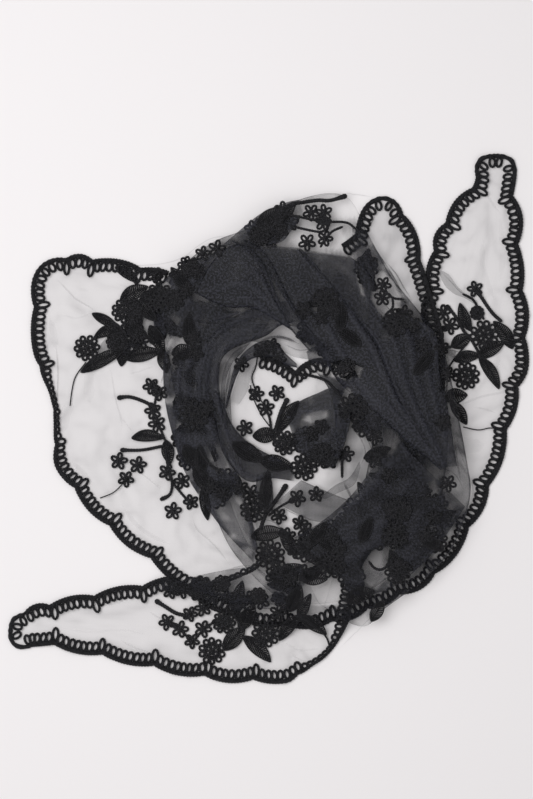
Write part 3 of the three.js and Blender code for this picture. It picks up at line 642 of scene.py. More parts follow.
# folds that lie on the swirl, each between two lines of the plan: how dense the cloth is in them, how far
# they stand off the cloth below in mm, how many wrinkles run along them, the share that fades at each end,
# and how much lighter their light patches are
foldRows = [
    # left band of the swirl
    [[[184, 292], [172, 325], [164, 362], [165, 400], [173, 436], [184, 470], [202, 500], [224, 530],
      [254, 562]],
     [[252, 310], [230, 334], [216, 358], [209, 390], [216, 425], [228, 455], [242, 485], [251, 515],
      [258, 548]],
     15, 0.8, 14, 0.02, 0.8],
    [[[296, 322], [280, 326], [266, 336], [248, 343], [231, 350], [221, 362], [219, 382], [221, 400],
      [225, 418]],
     [[292, 300], [262, 306], [232, 318], [208, 340], [198, 372], [196, 410]], 13, 1.4, 7, 0.04, 0.3],
    # lace at the upper left, and the dark hollow beside it, whose shadow is painted as a dense fold
    [[[146, 306], [158, 288], [178, 268], [200, 260], [222, 250]],
     [[164, 348], [178, 332], [196, 316], [210, 304], [220, 292]], 15, 0.6, 5, 0.03, 0.75],
    [[[88, 364], [106, 338], [126, 322], [146, 300], [168, 286]],
     [[92, 368], [118, 359], [140, 350], [156, 343], [176, 326]], 4.0, 0.5, 2, 0.05, 0.5],
    # painted shadow: a dense fold lies in the dark hollow
    [[[196, 299], [212, 305], [228, 311], [244, 312]], [[190, 320], [206, 324], [222, 320], [238, 314]],
     12, 0.8, 1, 0.1],
    [[[222, 246], [242, 229], [261, 214], [283, 204], [300, 200]],
     [[240, 254], [262, 246], [282, 242], [292, 230], [304, 214]], 16, 0.6, 3, 0.03, 0.4],
    # smooth dome, and the long drape across the swirl with its turned edge
    [[[197, 291], [208, 268], [226, 249], [245, 245], [262, 262], [276, 294], [291, 329]],
     [[199, 295], [214, 303], [230, 308], [250, 308], [268, 316], [281, 324], [292, 331]], 22, 2.0, 4, 0.0],
    [[[246, 244], [262, 262], [284, 298], [306, 330], [324, 360], [342, 386], [372, 410], [398, 434],
      [440, 470]],
     [[300, 248], [310, 258], [320, 270], [338, 292], [358, 318], [374, 342], [388, 372], [402, 405],
      [446, 466]],
     20, 1.4, 6, 0.02],
    [[[296, 249], [330, 285], [356, 318], [374, 342], [388, 378], [403, 412], [424, 445], [438, 468]],
     [[350, 257], [368, 272], [388, 308], [410, 318], [434, 334], [438, 372], [446, 404], [456, 466]],
     16, 2.2, 7, 0.02, 0.2],
    [[[231, 241], [246, 251], [257, 265], [264, 280], [272, 298], [282, 316], [292, 331], [310, 352]],
     [[244, 240], [260, 248], [272, 262], [281, 280], [291, 300], [304, 320], [318, 338], [330, 352]],
     5, 3.2, 2, 0.02],
    # right of the ear's trim
    [[[352, 226], [352, 250], [357, 272], [366, 298], [382, 318]],
     [[366, 234], [376, 250], [392, 274], [401, 290], [412, 302]], 7, 0.8, 3, 0.04, 0.7],
    # middle of the swirl: the wedge, the curved folds to its left, the narrow folds below
    [[[285, 412], [300, 401], [318, 393], [332, 388], [350, 394]],
     [[298, 452], [310, 459], [326, 466], [336, 464], [346, 440]], 20, 1.0, 3, 0.0, 0.4],
    [[[222, 398], [232, 424], [248, 442], [268, 454], [284, 462], [296, 474]],
     [[214, 412], [222, 450], [238, 474], [252, 482], [270, 478], [294, 481]], 16, 1.4, 3, 0.05],
    [[[257, 474], [256, 492], [262, 512]], [[270, 470], [273, 490], [273, 514]], 14, 1.0, 1, 0.08],
    [[[316, 372], [328, 388], [334, 410], [335, 432], [336, 452]],
     [[346, 380], [352, 394], [350, 412], [349, 428], [342, 448]], 14, 1.0, 2, 0.05],
    [[[344, 390], [350, 410], [362, 428], [372, 450], [368, 478]],
     [[372, 408], [388, 424], [400, 440], [412, 458], [404, 478]], 9, 0.8, 4, 0.05, 0.5],
    [[[301, 480], [318, 488], [335, 495], [350, 500]], [[276, 503], [292, 511], [308, 519], [328, 523]],
     6.0, 0.8, 2, 0.0],
    [[[359, 461], [349, 477], [335, 485], [320, 497]], [[360, 467], [354, 484], [339, 492], [325, 499]],
     4.0, 1.0, 0, 0.0],
    [[[262, 349], [246, 356], [236, 370], [231, 392], [232, 426]],
     [[252, 342], [234, 352], [224, 370], [221, 396], [225, 430]], 4.0, 1.6, 2, 0.06],
    [[[266, 354], [250, 360], [240, 372], [234, 388], [229, 404]],
     [[266, 362], [256, 367], [251, 378], [247, 392], [238, 406]], 2.2, 0.8, 3, 0.08],
    [[[225, 408], [229, 388], [236, 364], [248, 349], [262, 341], [276, 342], [286, 354], [297, 364]],
     [[227, 409], [232, 390], [240, 370], [252, 359], [266, 357], [276, 358], [286, 365], [298, 368]],
     16, 1.6, 4, 0.02, 0.35],
    # dark mass at the lower right, and the end of the strip that shows through the flap below
    [[[294, 537], [320, 522], [346, 500], [366, 476], [386, 452], [404, 448]],
     [[328, 566], [350, 592], [384, 590], [414, 570], [439, 543], [464, 506]], 12, 0.8, 11, 0.0, 0.55],
    [[[188, 578], [205, 574], [225, 570], [242, 567], [256, 567], [274, 576], [300, 566]],
     [[204, 592], [224, 600], [240, 603], [262, 603], [284, 606], [300, 606], [318, 600]],
     4.5, 0.4, 4, 0.0, 0.4],
    [[[152, 584], [176, 579], [200, 582], [222, 592], [246, 596], [272, 594], [296, 582], [330, 572]],
     [[164, 592], [196, 592], [212, 604], [232, 610], [256, 608], [284, 608], [304, 596], [330, 582]],
     3.0, 0.7, 3, 0.03, 0.6],
    # turned cloth beside the last scallop over the middle panel
    [[[306, 352], [314, 347], [322, 350], [330, 360]], [[308, 360], [314, 364], [322, 366], [328, 368]],
     9, 0.8, 2, 0.05, 0.4],
    # sliver beside the right tip's edging
    [[[440, 270], [449, 275], [456, 285], [463, 292], [474, 302]],
     [[439, 274], [445, 286], [454, 294], [464, 298], [474, 304]], 3.0, 1.0, 0, 0.0],
]
folds = tableOf(["left", "right", "density", "lift", "wrinkles", "fade", "mottle"], foldRows)
foldShape = {
    "rows": 90, "width": 36, "evenShare": 0.55, "edgeShare": 0.45,  # columns lie closer near the edges
    "gap": 0.0021, "roll": 0.0022, "spanLeast": 0.002,
    "wrinkleHeight": 0.0009, "wrinkleReach": 0.0020, "wavesMost": 1.3, "waveDensity": 0.3,
    # of a wrinkle across the fold, and along it
    "places": (0.2, 0.8), "sway": 0.08, "swayTurns": (2, 6), "swayStarts": (0, 6),
    "reaches": (0.7, 1.6), "lengths": (0.9, 1.6), "starts": (-0.1, 0.5),
    "fadeLeast": 0.05, "mottleSize": 0.013, "mottleLayer": 7.0, "mottleSharpness": 4,
}

# fine dark lines where cloth is folded, and wide faint strips of painted soft shade: plan points, width in
# mm, density
creaseLineRows = [
    [[[118, 266], [148, 265], [166, 263], [184, 257], [200, 245], [214, 238], [232, 237], [243, 242]],
     0.9, 1.8],
    [[[298, 202], [318, 197], [338, 194], [360, 195], [380, 199]], 0.9, 1.8],
    [[[282, 247], [310, 254], [350, 258]], 1.2, 3],
    [[[304, 254], [335, 290], [360, 321], [378, 350], [385, 374]], 3.2, 4],
    [[[231, 242], [246, 252], [258, 266], [265, 282], [273, 299], [283, 317], [293, 332], [311, 353]],
     1.4, 3],
    [[[233, 360], [229, 376], [226, 394], [225, 410], [230, 424]], 1.8, 8],
    [[[244, 354], [237, 368], [233, 384], [229, 400], [228, 414]], 1.8, 8],
    [[[264, 361], [255, 366], [251, 376], [252, 390]], 1.1, 4],
    [[[256, 348], [264, 340], [276, 337], [288, 339], [299, 344]], 2.6, 9],
    [[[284, 344], [298, 350], [312, 349]], 1.2, 4],
    [[[291, 328], [300, 340], [310, 350]], 1.0, 3],
    [[[300, 480], [318, 488], [333, 494], [350, 501]], 1.1, 5],
    [[[275, 503], [291, 512], [308, 519], [322, 522]], 1.1, 4],
    [[[264, 519], [276, 523], [284, 536], [292, 550]], 1.8, 6],
    [[[343, 482], [348, 491], [352, 500]], 2.4, 8],
    [[[354, 426], [364, 434], [371, 450], [367, 466]], 1.8, 6],
    [[[351, 427], [360, 438], [365, 452], [360, 466]], 1.2, 6],
    [[[341, 429], [337, 442], [339, 456], [343, 470], [342, 478]], 2.4, 7],
    [[[338, 650], [352, 636], [365, 622], [380, 608], [398, 595]], 0.9, 2],
    [[[455, 428], [458, 448], [468, 474], [473, 490], [469, 506]], 1.0, 2.5],
    [[[438, 466], [454, 474], [463, 490]], 1.1, 4],
    [[[453, 436], [456, 460], [460, 482]], 2.0, 5],
    [[[436, 470], [441, 488], [439, 506]], 1.8, 5],
    [[[441, 272], [451, 282], [460, 292], [474, 300], [480, 312]], 1.2, 4],
    [[[210, 508], [228, 534], [246, 553], [268, 582]], 1.0, 2.5],
    [[[190, 578], [206, 574], [226, 570], [242, 566], [256, 567], [272, 582]], 1.2, 3],
    [[[160, 386], [164, 372], [163, 360]], 1.2, 4],
    [[[207, 398], [205, 372], [210, 350], [222, 330], [240, 316]], 2.4, 4],
    [[[214, 410], [222, 440], [232, 470], [244, 502], [252, 530], [262, 560]], 3.0, 8],
    [[[226, 402], [232, 424], [246, 440], [266, 452]], 1.6, 5],
    [[[386, 262], [396, 274], [404, 288], [412, 300]], 1.2, 4],
    [[[350, 392], [372, 410], [398, 434], [424, 458], [440, 470]], 1.8, 4],
    # creases of the open cloth at the left and right; the strips from 4 mm wide are painted soft shade and
    # shadow where the cloth wrinkles
    [[[56, 278], [67, 290], [76, 299], [88, 306], [98, 313]], 1.6, 1.3],
    [[[60, 314], [76, 318], [92, 313]], 1.4, 0.5],
    [[[86, 362], [75, 377], [72, 392], [70, 410]], 1.1, 4],
    [[[56, 342], [58, 372], [57, 402], [56, 432]], 1.6, 2],
    [[[111, 370], [114, 390], [117, 405], [121, 418], [122, 430]], 1.6, 1.0],
    [[[121, 418], [128, 426], [134, 434]], 1.2, 0.7],
    [[[128, 374], [140, 371], [154, 366]], 1.2, 0.7],
    [[[138, 471], [150, 480], [163, 491]], 1.4, 0.9],
    [[[192, 516], [197, 529], [210, 541], [221, 553], [230, 565]], 1.6, 1.3],
    # painted soft shade and shadow: wide faint strips
    [[[90, 368], [89, 384], [90, 402]], 9, 0.35],
    [[[72, 398], [66, 414], [62, 434]], 9, 0.5],
    [[[50, 318], [54, 334], [56, 350]], 6, 0.5],
    [[[72, 462], [84, 474], [92, 486]], 5, 0.6],
    [[[122, 505], [136, 524], [152, 536], [170, 544]], 4, 0.5],
    [[[484, 166], [485, 188], [490, 200], [502, 216]], 2.2, 0.7],
    # painted soft shade: wide faint strips
    [[[483, 240], [482, 262], [486, 278], [494, 300]], 5, 0.35],
    [[[500, 220], [503, 250], [500, 280]], 6, 0.3],
    [[[455, 407], [472, 400], [488, 395], [512, 391]], 2.2, 0.9],
    [[[474, 407], [484, 409], [496, 413]], 1.6, 0.9],
    # painted soft shade: wide faint strips
    [[[456, 440], [470, 446], [484, 444]], 12, 0.4],
    [[[484, 362], [492, 366], [500, 360]], 6, 0.4],
    [[[94, 606], [112, 604], [130, 598]], 2.0, 0.5],
    [[[60, 628], [90, 632], [124, 630], [150, 636]], 1.6, 0.4],
    [[[120, 640], [136, 648], [150, 652]], 1.8, 0.6],
    [[[150, 612], [160, 618], [166, 616]], 2.0, 0.8],
    [[[290, 652], [300, 660], [318, 664]], 2.0, 0.6],
    [[[282, 641], [300, 650], [322, 648]], 1.6, 0.5],
]
creaseLines = tableOf(["line", "width", "density"], creaseLineRows)
creaseLineShape = {"lift": 0.0006, "taperShare": 0.2, "taperLeast": 0.25, "rimDensity": 0.4}

# where the swirl is more or less dense than its layers make it: outline, factor, soft border in plan units
shadeRows = [
    [[[298, 588], [312, 578], [328, 571], [345, 576], [344, 592], [337, 606], [318, 606], [304, 602]],
     0.2, 3],
    [[[358, 560], [366, 550], [380, 544], [396, 544], [394, 553], [388, 560], [392, 570], [376, 590],
      [362, 580]],
     0.28, 3],
    [[[384, 427], [394, 428], [401, 441], [391, 457], [384, 461], [381, 445]], 0.30, 3],
    [[[447, 470], [458, 464], [470, 480], [471, 497], [462, 507], [450, 500], [442, 504], [441, 480]],
     0.65, 3],
    [[[420, 499], [428, 480], [435, 478], [439, 496]], 0.2, 3],
    [[[214, 508], [225, 500], [235, 492], [243, 505], [250, 525], [252, 546], [238, 541], [226, 528]],
     0.42, 4],
    [[[203, 446], [215, 440], [226, 455], [232, 475], [222, 478], [208, 462]], 0.4, 4],
    [[[160, 342], [166, 331], [173, 340], [168, 351]], 0.12, 2],
    [[[176, 345], [184, 335], [192, 344], [180, 351]], 0.2, 2],
    [[[168, 358], [174, 350], [182, 352], [176, 362]], 0.3, 2],
    [[[374, 272], [384, 271], [395, 284], [402, 300], [400, 309], [385, 319], [377, 314], [370, 300]],
     0.14, 3],
    [[[355, 271], [359, 270], [365, 296], [360, 297]], 0.03, 1.5],
    [[[305, 303], [311, 298], [320, 305], [321, 314], [314, 312]], 0.12, 3],
    [[[328, 361], [340, 358], [364, 366], [360, 378], [344, 381], [332, 374]], 0.05, 3],
    [[[430, 559], [437, 547], [449, 529], [457, 526], [456, 538], [442, 560]], 0.06, 2],
    [[[405, 585], [423, 566], [430, 568], [426, 576], [412, 588]], 0.08, 2],
    [[[288, 207], [320, 199], [347, 196], [362, 204], [358, 221], [335, 221], [318, 219], [292, 216]],
     0.16, 3],
    [[[286, 234], [300, 226], [338, 228], [346, 240], [349, 254], [330, 251], [300, 249], [290, 244]],
     0.24, 3],
    [[[374, 330], [395, 327], [398, 338], [380, 341]], 0.45, 4],
    [[[405, 347], [411, 325], [420, 328], [416, 347]], 0.5, 4],
    [[[338, 404], [346, 385], [353, 391], [345, 410]], 0.12, 2],
    [[[242, 571], [256, 569], [268, 580], [262, 588], [245, 587]], 0.55, 3],
    [[[302, 420], [311, 411], [328, 409], [327, 417], [312, 424]], 0.35, 3],
    [[[368, 205], [392, 204], [402, 226], [408, 262], [412, 296], [396, 278], [380, 250], [366, 232]],
     1.7, 4],
    [[[267, 337], [276, 327], [290, 327], [305, 335], [322, 343], [325, 351], [315, 354], [298, 344],
      [282, 338]],
     1.5, 2],
    [[[150, 280], [158, 274], [172, 286], [164, 293], [148, 293]], 0.2, 3],
    [[[436, 390], [443, 372], [447, 376], [442, 394]], 0.2, 2],
    [[[340, 440], [350, 430], [362, 436], [369, 452], [362, 466], [350, 474], [341, 462]], 0.8, 3],
]
shades = tableOf(["outline", "factor", "border"], shadeRows)


def shadeFactor(spots):
    factor = np.ones(len(spots))
    for shade in shades:
        outline = planPoints(shade["outline"])
        nearest = np.full(len(spots), np.inf)
        within = np.zeros(len(spots), bool)
        for start, end in zip(outline, np.roll(outline, -1, axis=0)):
            nearest = np.minimum(nearest, awayFrom(spots, start, end))
            crosses = (start[1] > spots[:, 1]) != (end[1] > spots[:, 1])
            across, rise = end - start
            rise = rise if abs(rise) > tiny else tiny
            within ^= crosses & (spots[:, 0] < (spots[:, 1] - start[1]) * across / rise + start[0])
        depth = np.where(within, nearest, -nearest) / (shade["border"] * plan["scale"])
        factor *= 1 + (shade["factor"] - 1) * smooth(depth + 0.5)
    return factor


# a smooth line through plan points, as a number of even spots
def splined(points, count):
    line, _ = flowingLine(points)
    share = np.linspace(0, 1, len(line))
    at = np.linspace(0, 1, count)
    return np.column_stack([np.interp(at, share, line[:, k]) for k in (0, 1)])


# light patches in crowded cloth, between 0 and 1
def patches(plane):
    places = plane.reshape(-1, 2) / foldShape["mottleSize"]
    values = [noise.noise(Vector((x, y, foldShape["mottleLayer"]))) for x, y in places]
    return smooth(np.array(values).reshape(plane.shape[:2]) * foldShape["mottleSharpness"])


# a fold's spots, with its density and the height of its wrinkles at each; that height also marks where a
# highlight is painted on the wrinkle ridges
def makeFold(fold):
    rows, width = foldShape["rows"], foldShape["width"]
    left, right = splined(fold["left"], rows), splined(fold["right"], rows)
    across = np.linspace(0, 1, width)
    across = foldShape["evenShare"] * across + foldShape["edgeShare"] * (1 - np.cos(math.pi * across)) / 2
    along = np.linspace(0, 1, rows)
    plane = left[:, None, :] * (1 - across)[None, :, None] + right[:, None, :] * across[None, :, None]
    base = drapeGrid.read(plane.reshape(-1, 2)).reshape(rows, width)
    span = np.maximum(np.linalg.norm(right - left, axis=1), foldShape["spanLeast"])[:, None]
    edgeGap = np.minimum(across, 1 - across)[None, :] * span
    roll = np.sqrt(smooth(edgeGap / foldShape["roll"]))
    waves = np.zeros((rows, width))
    for k in range(fold["wrinkles"]):
        middle = (k + random.uniform(*foldShape["places"])) / fold["wrinkles"]
        turns, start = random.uniform(*foldShape["swayTurns"]), random.uniform(*foldShape["swayStarts"])
        middle = middle + foldShape["sway"] * np.sin(along * turns + start)
        reach = foldShape["wrinkleReach"] * random.uniform(*foldShape["reaches"]) / span
        stretched = along * random.uniform(*foldShape["lengths"]) - random.uniform(*foldShape["starts"])
        strength = np.sin(np.pi * np.clip(stretched, 0, 1))
        waves += strength[:, None] * np.exp(-((across[None, :] - middle[:, None]) / reach) ** 2)
    waves = np.minimum(waves, foldShape["wavesMost"])
    height = base + foldShape["gap"] + roll * fold["lift"] * mm + waves * foldShape["wrinkleHeight"]
    spots = np.dstack([plane, height])
    density = fold["density"] * steepness(spots) * (1 + foldShape["waveDensity"] * waves)
    density = density * (1 - fold.get("mottle", 0) * patches(plane))
    if fold["fade"]:
        ends = smooth(np.minimum(along, 1 - along) / fold["fade"])
        density = density * (foldShape["fadeLeast"] + (1 - foldShape["fadeLeast"]) * ends)[:, None]
    return spots, np.dstack([density, np.clip(waves, 0, 1)])


def makeCreaseLine(crease):
    line, share = flowingLine(crease["line"])
    aside = leftOf(np.gradient(line, axis=0))
    fromEnd = np.minimum(share, 1 - share)
    taper = np.clip(fromEnd / creaseLineShape["taperShare"], creaseLineShape["taperLeast"], 1)
    reach = crease["width"] * mm / 2 * taper
    height = foldGrid.read(line) + creaseLineShape["lift"]
    sides = [np.column_stack([line + aside * (reach * side)[:, None], height]) for side in (-1, 0, 1)]
    density = np.repeat((crease["density"] * taper)[:, None], len(sides), axis=1)
    density[:, [0, -1]] *= creaseLineShape["rimDensity"]
    return np.stack(sides, axis=1), density


foldVertices, foldFaces, foldValues = joinGrids([makeFold(fold) for fold in folds])
foldGrid = makeHeightGrid(makeTree(np.concatenate([clothVertices, foldVertices]),
                                   list(clothFaces) + list(foldFaces + len(clothVertices))))
lineVertices, lineFaces, lineDensity = joinGrids([makeCreaseLine(crease) for crease in creaseLines])
print("folds laid on", len(foldFaces), "faces")


class Threads:
    # collects cords and loops of thread for one piece, with the turn of the stitches along them
    def __init__(self):
        self.spots, self.faces, self.turns, self.count = [], [], [], 0

    def add(self, spots, faces, turns):
        self.faces.extend([index + self.count for index in face] for face in faces)
        self.spots.append(spots)
        self.turns.append(turns)
        self.count += len(spots)

    def piece(self, name, material, slot):
        made = addPiece(name, np.concatenate(self.spots), self.faces, material, slot)
        addAttribute(made.data, "stitchTurn", np.concatenate(self.turns))
        return made


tubeFaceSets = {}


# faces of a tube of rings; an open one has a cap at each end
def tubeFaces(count, sides, closed):
    key = (count, sides, closed)
    if key not in tubeFaceSets:
        faces = []
        for i in range(count if closed else count - 1):
            for k in range(sides):
                a, b = i * sides, ((i + 1) % count) * sides
                n = (k + 1) % sides
                faces.append((a + k, a + n, b + n, b + k))
        if not closed:
            faces.append(tuple(range(sides))[::-1])
            faces.append(tuple((count - 1) * sides + k for k in range(sides)))
        tubeFaceSets[key] = faces
    return tubeFaceSets[key]


# a cord that lies flat: width across the plan, height upwards, both along the whole path or at each point;
# its stitches repeat with the pitch and lean by the slant
def tube(threads, path, width, height, sides=6, closed=False, pitch=0.0016, slant=1.0):
    count = len(path)
    width, height = np.broadcast_to(width, count), np.broadcast_to(height, count)
    if closed:
        way = np.roll(path, -1, axis=0) - np.roll(path, 1, axis=0)
    else:
        way = np.gradient(path, axis=0)
    aside = leftOf(way)
    angles = 2 * np.pi * np.arange(sides) / sides
    spots = np.repeat(path[:, None, :], sides, axis=1)
    spots[:, :, :2] += aside[:, None, :] * (np.cos(angles)[None, :] * width[:, None] / 2)[:, :, None]
    spots[:, :, 2] += np.sin(angles)[None, :] * height[:, None] / 2
    lean = slant * np.abs(np.cos(angles))[None, :] * width[:, None] / (2 * pitch)
    turns = lengthsAlong(path)[:, None] / pitch + lean
    threads.add(spots.reshape(-1, 3), tubeFaces(count, sides, closed), turns.reshape(-1))


def ahead(angle):
    return np.array([math.cos(angle), math.sin(angle)])


# an oval round a middle, its first radius along the direction
def oval(middle, direction, reach, breadth, steps):
    angles = 2 * np.pi * np.arange(steps) / steps
    way = ahead(direction)
    aside = np.array([-way[1], way[0]])
    return (np.asarray(middle)[None, :] + np.cos(angles)[:, None] * way * reach
            + np.sin(angles)[:, None] * aside * breadth)


# a flat line at the height of a grid
def laidOn(grid, line, lift):
    line = np.asarray(line)
    return np.column_stack([line[:, :2], grid.read(line) + lift])


thread = {
    "loop": 0.0022, "loopHeight": 0.0014,  # cord of the chain-stitched flowers
    "stem": 0.0029, "stemHeight": 0.0016, "stemStep": 0.0008, "stemPitch": 0.0013,
    "budWidth": 0.0042, "budAt": 0.06, "budLength": 0.09,  # the last two as shares of the stem
    "endLength": 0.0014, "endLeast": 0.05, "fine": 0.0011, "fineSides": 5,
    "lift": 0.0009, "overlap": 0.0005, "knotPitch": 0.0024, "knotDepth": 0.12,
    "petalSteps": 10, "circleSteps": 16, "heartSteps": 8,
}
rose = {  # rings of petals: how many, share of the radius out, reach and breadth; the circle between them
    "rings": [(10, 0.80, 0.200, 0.185), (6, 0.33, 0.165, 0.150)],
    "circle": 0.56, "heart": 0.09, "radius": 0.0118,
    "places": (-0.12, 0.12), "leans": (-0.3, 0.3),  # of a petal beside its even place
}
blossom = {"petals": 5, "petalAt": 0.60, "petalReach": 0.36, "petalBreadth": 0.24, "heart": 0.16,
           "radius": 0.0070}
leaf = {
    "width": 0.0105, "steps": 17, "rim": 0.0013, "vein": 0.0012, "stitch": 0.00135, "pitch": 0.0017,
    "slant": 0.0022, "height": 0.0010, "lengthPower": 0.9, "widthPower": 0.8, "widthLeast": 0.02,
    "firstStitch": 0.6, "stitchReach": 0.94,  # shares of the pitch and of the half width
    "rimSides": 5, "stitchSides": 4,
}


# a loop of thread; each layer lies over the one before it
def addLoop(threads, grid, middle, direction, reach, breadth, layer, steps):
    line = oval(middle, direction, reach, breadth, steps)
    lift = thread["lift"] + layer * thread["overlap"]
    tube(threads, laidOn(grid, line, lift), thread["loop"], thread["loopHeight"], closed=True)


def addRose(threads, grid, x, y, size=1.0, turn=0.0):
    middle = planPoints([[x, y]])[0]
    radius = rose["radius"] * size
    for ring, (count, at, reach, breadth) in enumerate(rose["rings"]):
        for k in range(count):
            angle = turn + 2 * math.pi * (k + random.uniform(*rose["places"])) / count
            lean = random.uniform(*rose["leans"])
            addLoop(threads, grid, middle + ahead(angle) * radius * at, angle + lean, radius * reach,
                    radius * breadth, ring, thread["petalSteps"])
    circle, heart = radius * rose["circle"], radius * rose["heart"]
    addLoop(threads, grid, middle, 0, circle, circle, 0, thread["circleSteps"])
    addLoop(threads, grid, middle, 0, heart, heart, 2, thread["heartSteps"])


def addBlossom(threads, grid, x, y, size=1.0, turn=0.0):
    middle = planPoints([[x, y]])[0]
    radius = blossom["radius"] * size
    for k in range(blossom["petals"]):
        angle = turn + 2 * math.pi * k / blossom["petals"]
        addLoop(threads, grid, middle + ahead(angle) * radius * blossom["petalAt"], angle,
                radius * blossom["petalReach"], radius * blossom["petalBreadth"], 0, thread["petalSteps"])
    heart = radius * blossom["heart"]
    addLoop(threads, grid, middle, 0, heart, heart, 1, thread["heartSteps"])


# a stitched leaf from its middle: angle in degrees, length in plan units, and how far it bends aside
def addLeaf(threads, grid, x, y, angle, length, width=1.0, bend=0.0):
    middle = planPoints([[x, y]])[0]
    reach = length * plan["scale"]
    way = ahead(math.radians(angle))
    aside = np.array([-way[1], way[0]])

    def leafSpot(share, side):
        share = np.clip(share, 0, 1)
        swell = np.sin(np.pi * share ** leaf["lengthPower"]) ** leaf["widthPower"]
        half = np.maximum(swell, leaf["widthLeast"]) * leaf["width"] * width / 2
        sway = bend * reach * 4 * share * (1 - share)
        return middle + way * ((share - 0.5) * reach)[:, None] + aside * (sway + side * half)[:, None]

    shares = (1 - np.cos(np.linspace(0, math.pi, leaf["steps"]))) / 2
    rim = np.concatenate([leafSpot(shares, 1), leafSpot(shares[::-1], -1)[1:-1]])
    tube(threads, laidOn(grid, rim, thread["lift"]), leaf["rim"], leaf["rim"], leaf["rimSides"], closed=True)
    vein = leafSpot(shares[1:-1], 0)
    tube(threads, laidOn(grid, vein, thread["lift"]), leaf["vein"], leaf["rim"], leaf["rimSides"])
    first, last = leaf["pitch"] * leaf["firstStitch"], reach - leaf["slant"]
    for share in np.arange(first, last, leaf["pitch"]) / reach:
        for side in (-1, 1):
            start = leafSpot(np.array([share]), 0)
            end = leafSpot(np.array([share + leaf["slant"] / reach]), side * leaf["stitchReach"])
            tube(threads, laidOn(grid, np.concatenate([start, end]), thread["lift"]), leaf["stitch"],
                 leaf["height"], leaf["stitchSides"])


# a knotted stem, which may end in a bud
def addStem(threads, grid, points, width=1.0, bud=False):
    step = thread["stemStep"]
    line, share = flowingLine(points, step)
    swell = np.exp(-((share - thread["budAt"]) / thread["budLength"]) ** 2) if bud else 0
    knotTurns = np.arange(len(line)) * step * 2 * math.pi / thread["knotPitch"]
    knots = 1 + thread["knotDepth"] * np.sin(knotTurns)
    gap = np.minimum(share, 1 - share) * len(line) * step
    rounded = np.clip(gap / thread["endLength"], thread["endLeast"], 1) ** 0.5
    breadth = (thread["stem"] * width + (thread["budWidth"] - thread["stem"]) * swell) * knots * rounded
    tube(threads, laidOn(grid, line, thread["lift"]), breadth, thread["stemHeight"],
         pitch=thread["stemPitch"])


def addFineThread(threads, grid, points):
    line, _ = flowingLine(points)
    tube(threads, laidOn(grid, line, thread["lift"]), thread["fine"], thread["fine"], thread["fineSides"])


# a node group that is still empty, with its named numbers in and out
def makeGroup(name, inputs, outputs):
    group = bpy.data.node_groups.new(name, "ShaderNodeTree")
    for way, sockets in (("INPUT", inputs), ("OUTPUT", outputs)):
        for socket in sockets:
            group.interface.new_socket(name=socket, in_out=way, socket_type="NodeSocketFloat")
    return group, group.nodes.new("NodeGroupInput"), group.nodes.new("NodeGroupOutput")


# a math node on numbers or sockets
def addMath(tree, operation, first, second=None, third=None):
    node = tree.nodes.new("ShaderNodeMath")
    node.operation = operation
    for k, value in enumerate((first, second, third)):
        if value is None:
            continue
        if isinstance(value, (int, float)):
            node.inputs[k].default_value = value
        else:
            tree.links.new(value, node.inputs[k])
    return node.outputs[0]


def addNoise(tree, place, scale, detail):
    node = tree.nodes.new("ShaderNodeTexNoise")
    node.inputs["Scale"].default_value = scale
    node.inputs["Detail"].default_value = detail
    tree.links.new(place, node.inputs["Vector"])
    return node.outputs["Fac"]


weaveShape = {"driftScale": 38, "driftDetail": 3, "driftMiddle": 0.5, "crossingMiddle": 0.85,
              "glintSpeckScale": 520, "glintSpeckDetail": 1, "glintSpeckFrom": 0.46, "glintSpeckGain": 7.0}


# crossing threads: how much of the light they stop, their height, and fine specks of painted glint
def makeWeaveGroup():
    group, given, result = makeGroup("weave", ["Threads", "Strength", "Drift"], ["Cover", "Height", "GlintSpecks"])
    place = group.nodes.new("ShaderNodeTexCoord").outputs["Object"]
    apart = group.nodes.new("ShaderNodeSeparateXYZ")
    group.links.new(place, apart.inputs[0])
    ridges = []
    for axis in ("X", "Y"):
        phase = addMath(group, "MULTIPLY", apart.outputs[axis], given.outputs["Threads"])
        ridges.append(addMath(group, "ABSOLUTE", addMath(group, "SINE", phase)))
    crossing = addMath(group, "MAXIMUM", ridges[0], ridges[1])
    drift = addNoise(group, place, weaveShape["driftScale"], weaveShape["driftDetail"])
    uneven = addMath(group, "MULTIPLY", addMath(group, "SUBTRACT", drift, weaveShape["driftMiddle"]),
                     given.outputs["Drift"])
    woven = addMath(group, "MULTIPLY", addMath(group, "SUBTRACT", crossing, weaveShape["crossingMiddle"]),
                    given.outputs["Strength"])
    cover = addMath(group, "ADD", addMath(group, "ADD", woven, uneven), 1.0)
    group.links.new(cover, result.inputs["Cover"])
    group.links.new(crossing, result.inputs["Height"])
    flat = group.nodes.new("ShaderNodeCombineXYZ")
    for axis in ("X", "Y"):
        group.links.new(apart.outputs[axis], flat.inputs[axis])
    # painted glints: sharp specks of noise, the same for all layers over a plan point
    speck = addNoise(group, flat.outputs[0], weaveShape["glintSpeckScale"], weaveShape["glintSpeckDetail"])
    sharp = addMath(group, "MULTIPLY", addMath(group, "SUBTRACT", speck, weaveShape["glintSpeckFrom"]),
                    weaveShape["glintSpeckGain"])
    paintedGlints = addMath(group, "MINIMUM", addMath(group, "MAXIMUM", sharp, 0.0), 1.0)
    group.links.new(paintedGlints, result.inputs["GlintSpecks"])
    return group


# one noise frays the stitches' height and breaks their painted highlight into specks
stitchShape = {"frayAndGlintScale": 480, "frayAndGlintDetail": 2, "frayHeight": 0.35, "shadePower": 3.0, "stitchGlintGain": 4.0,
               "stitchGlintFrom": -1.0}
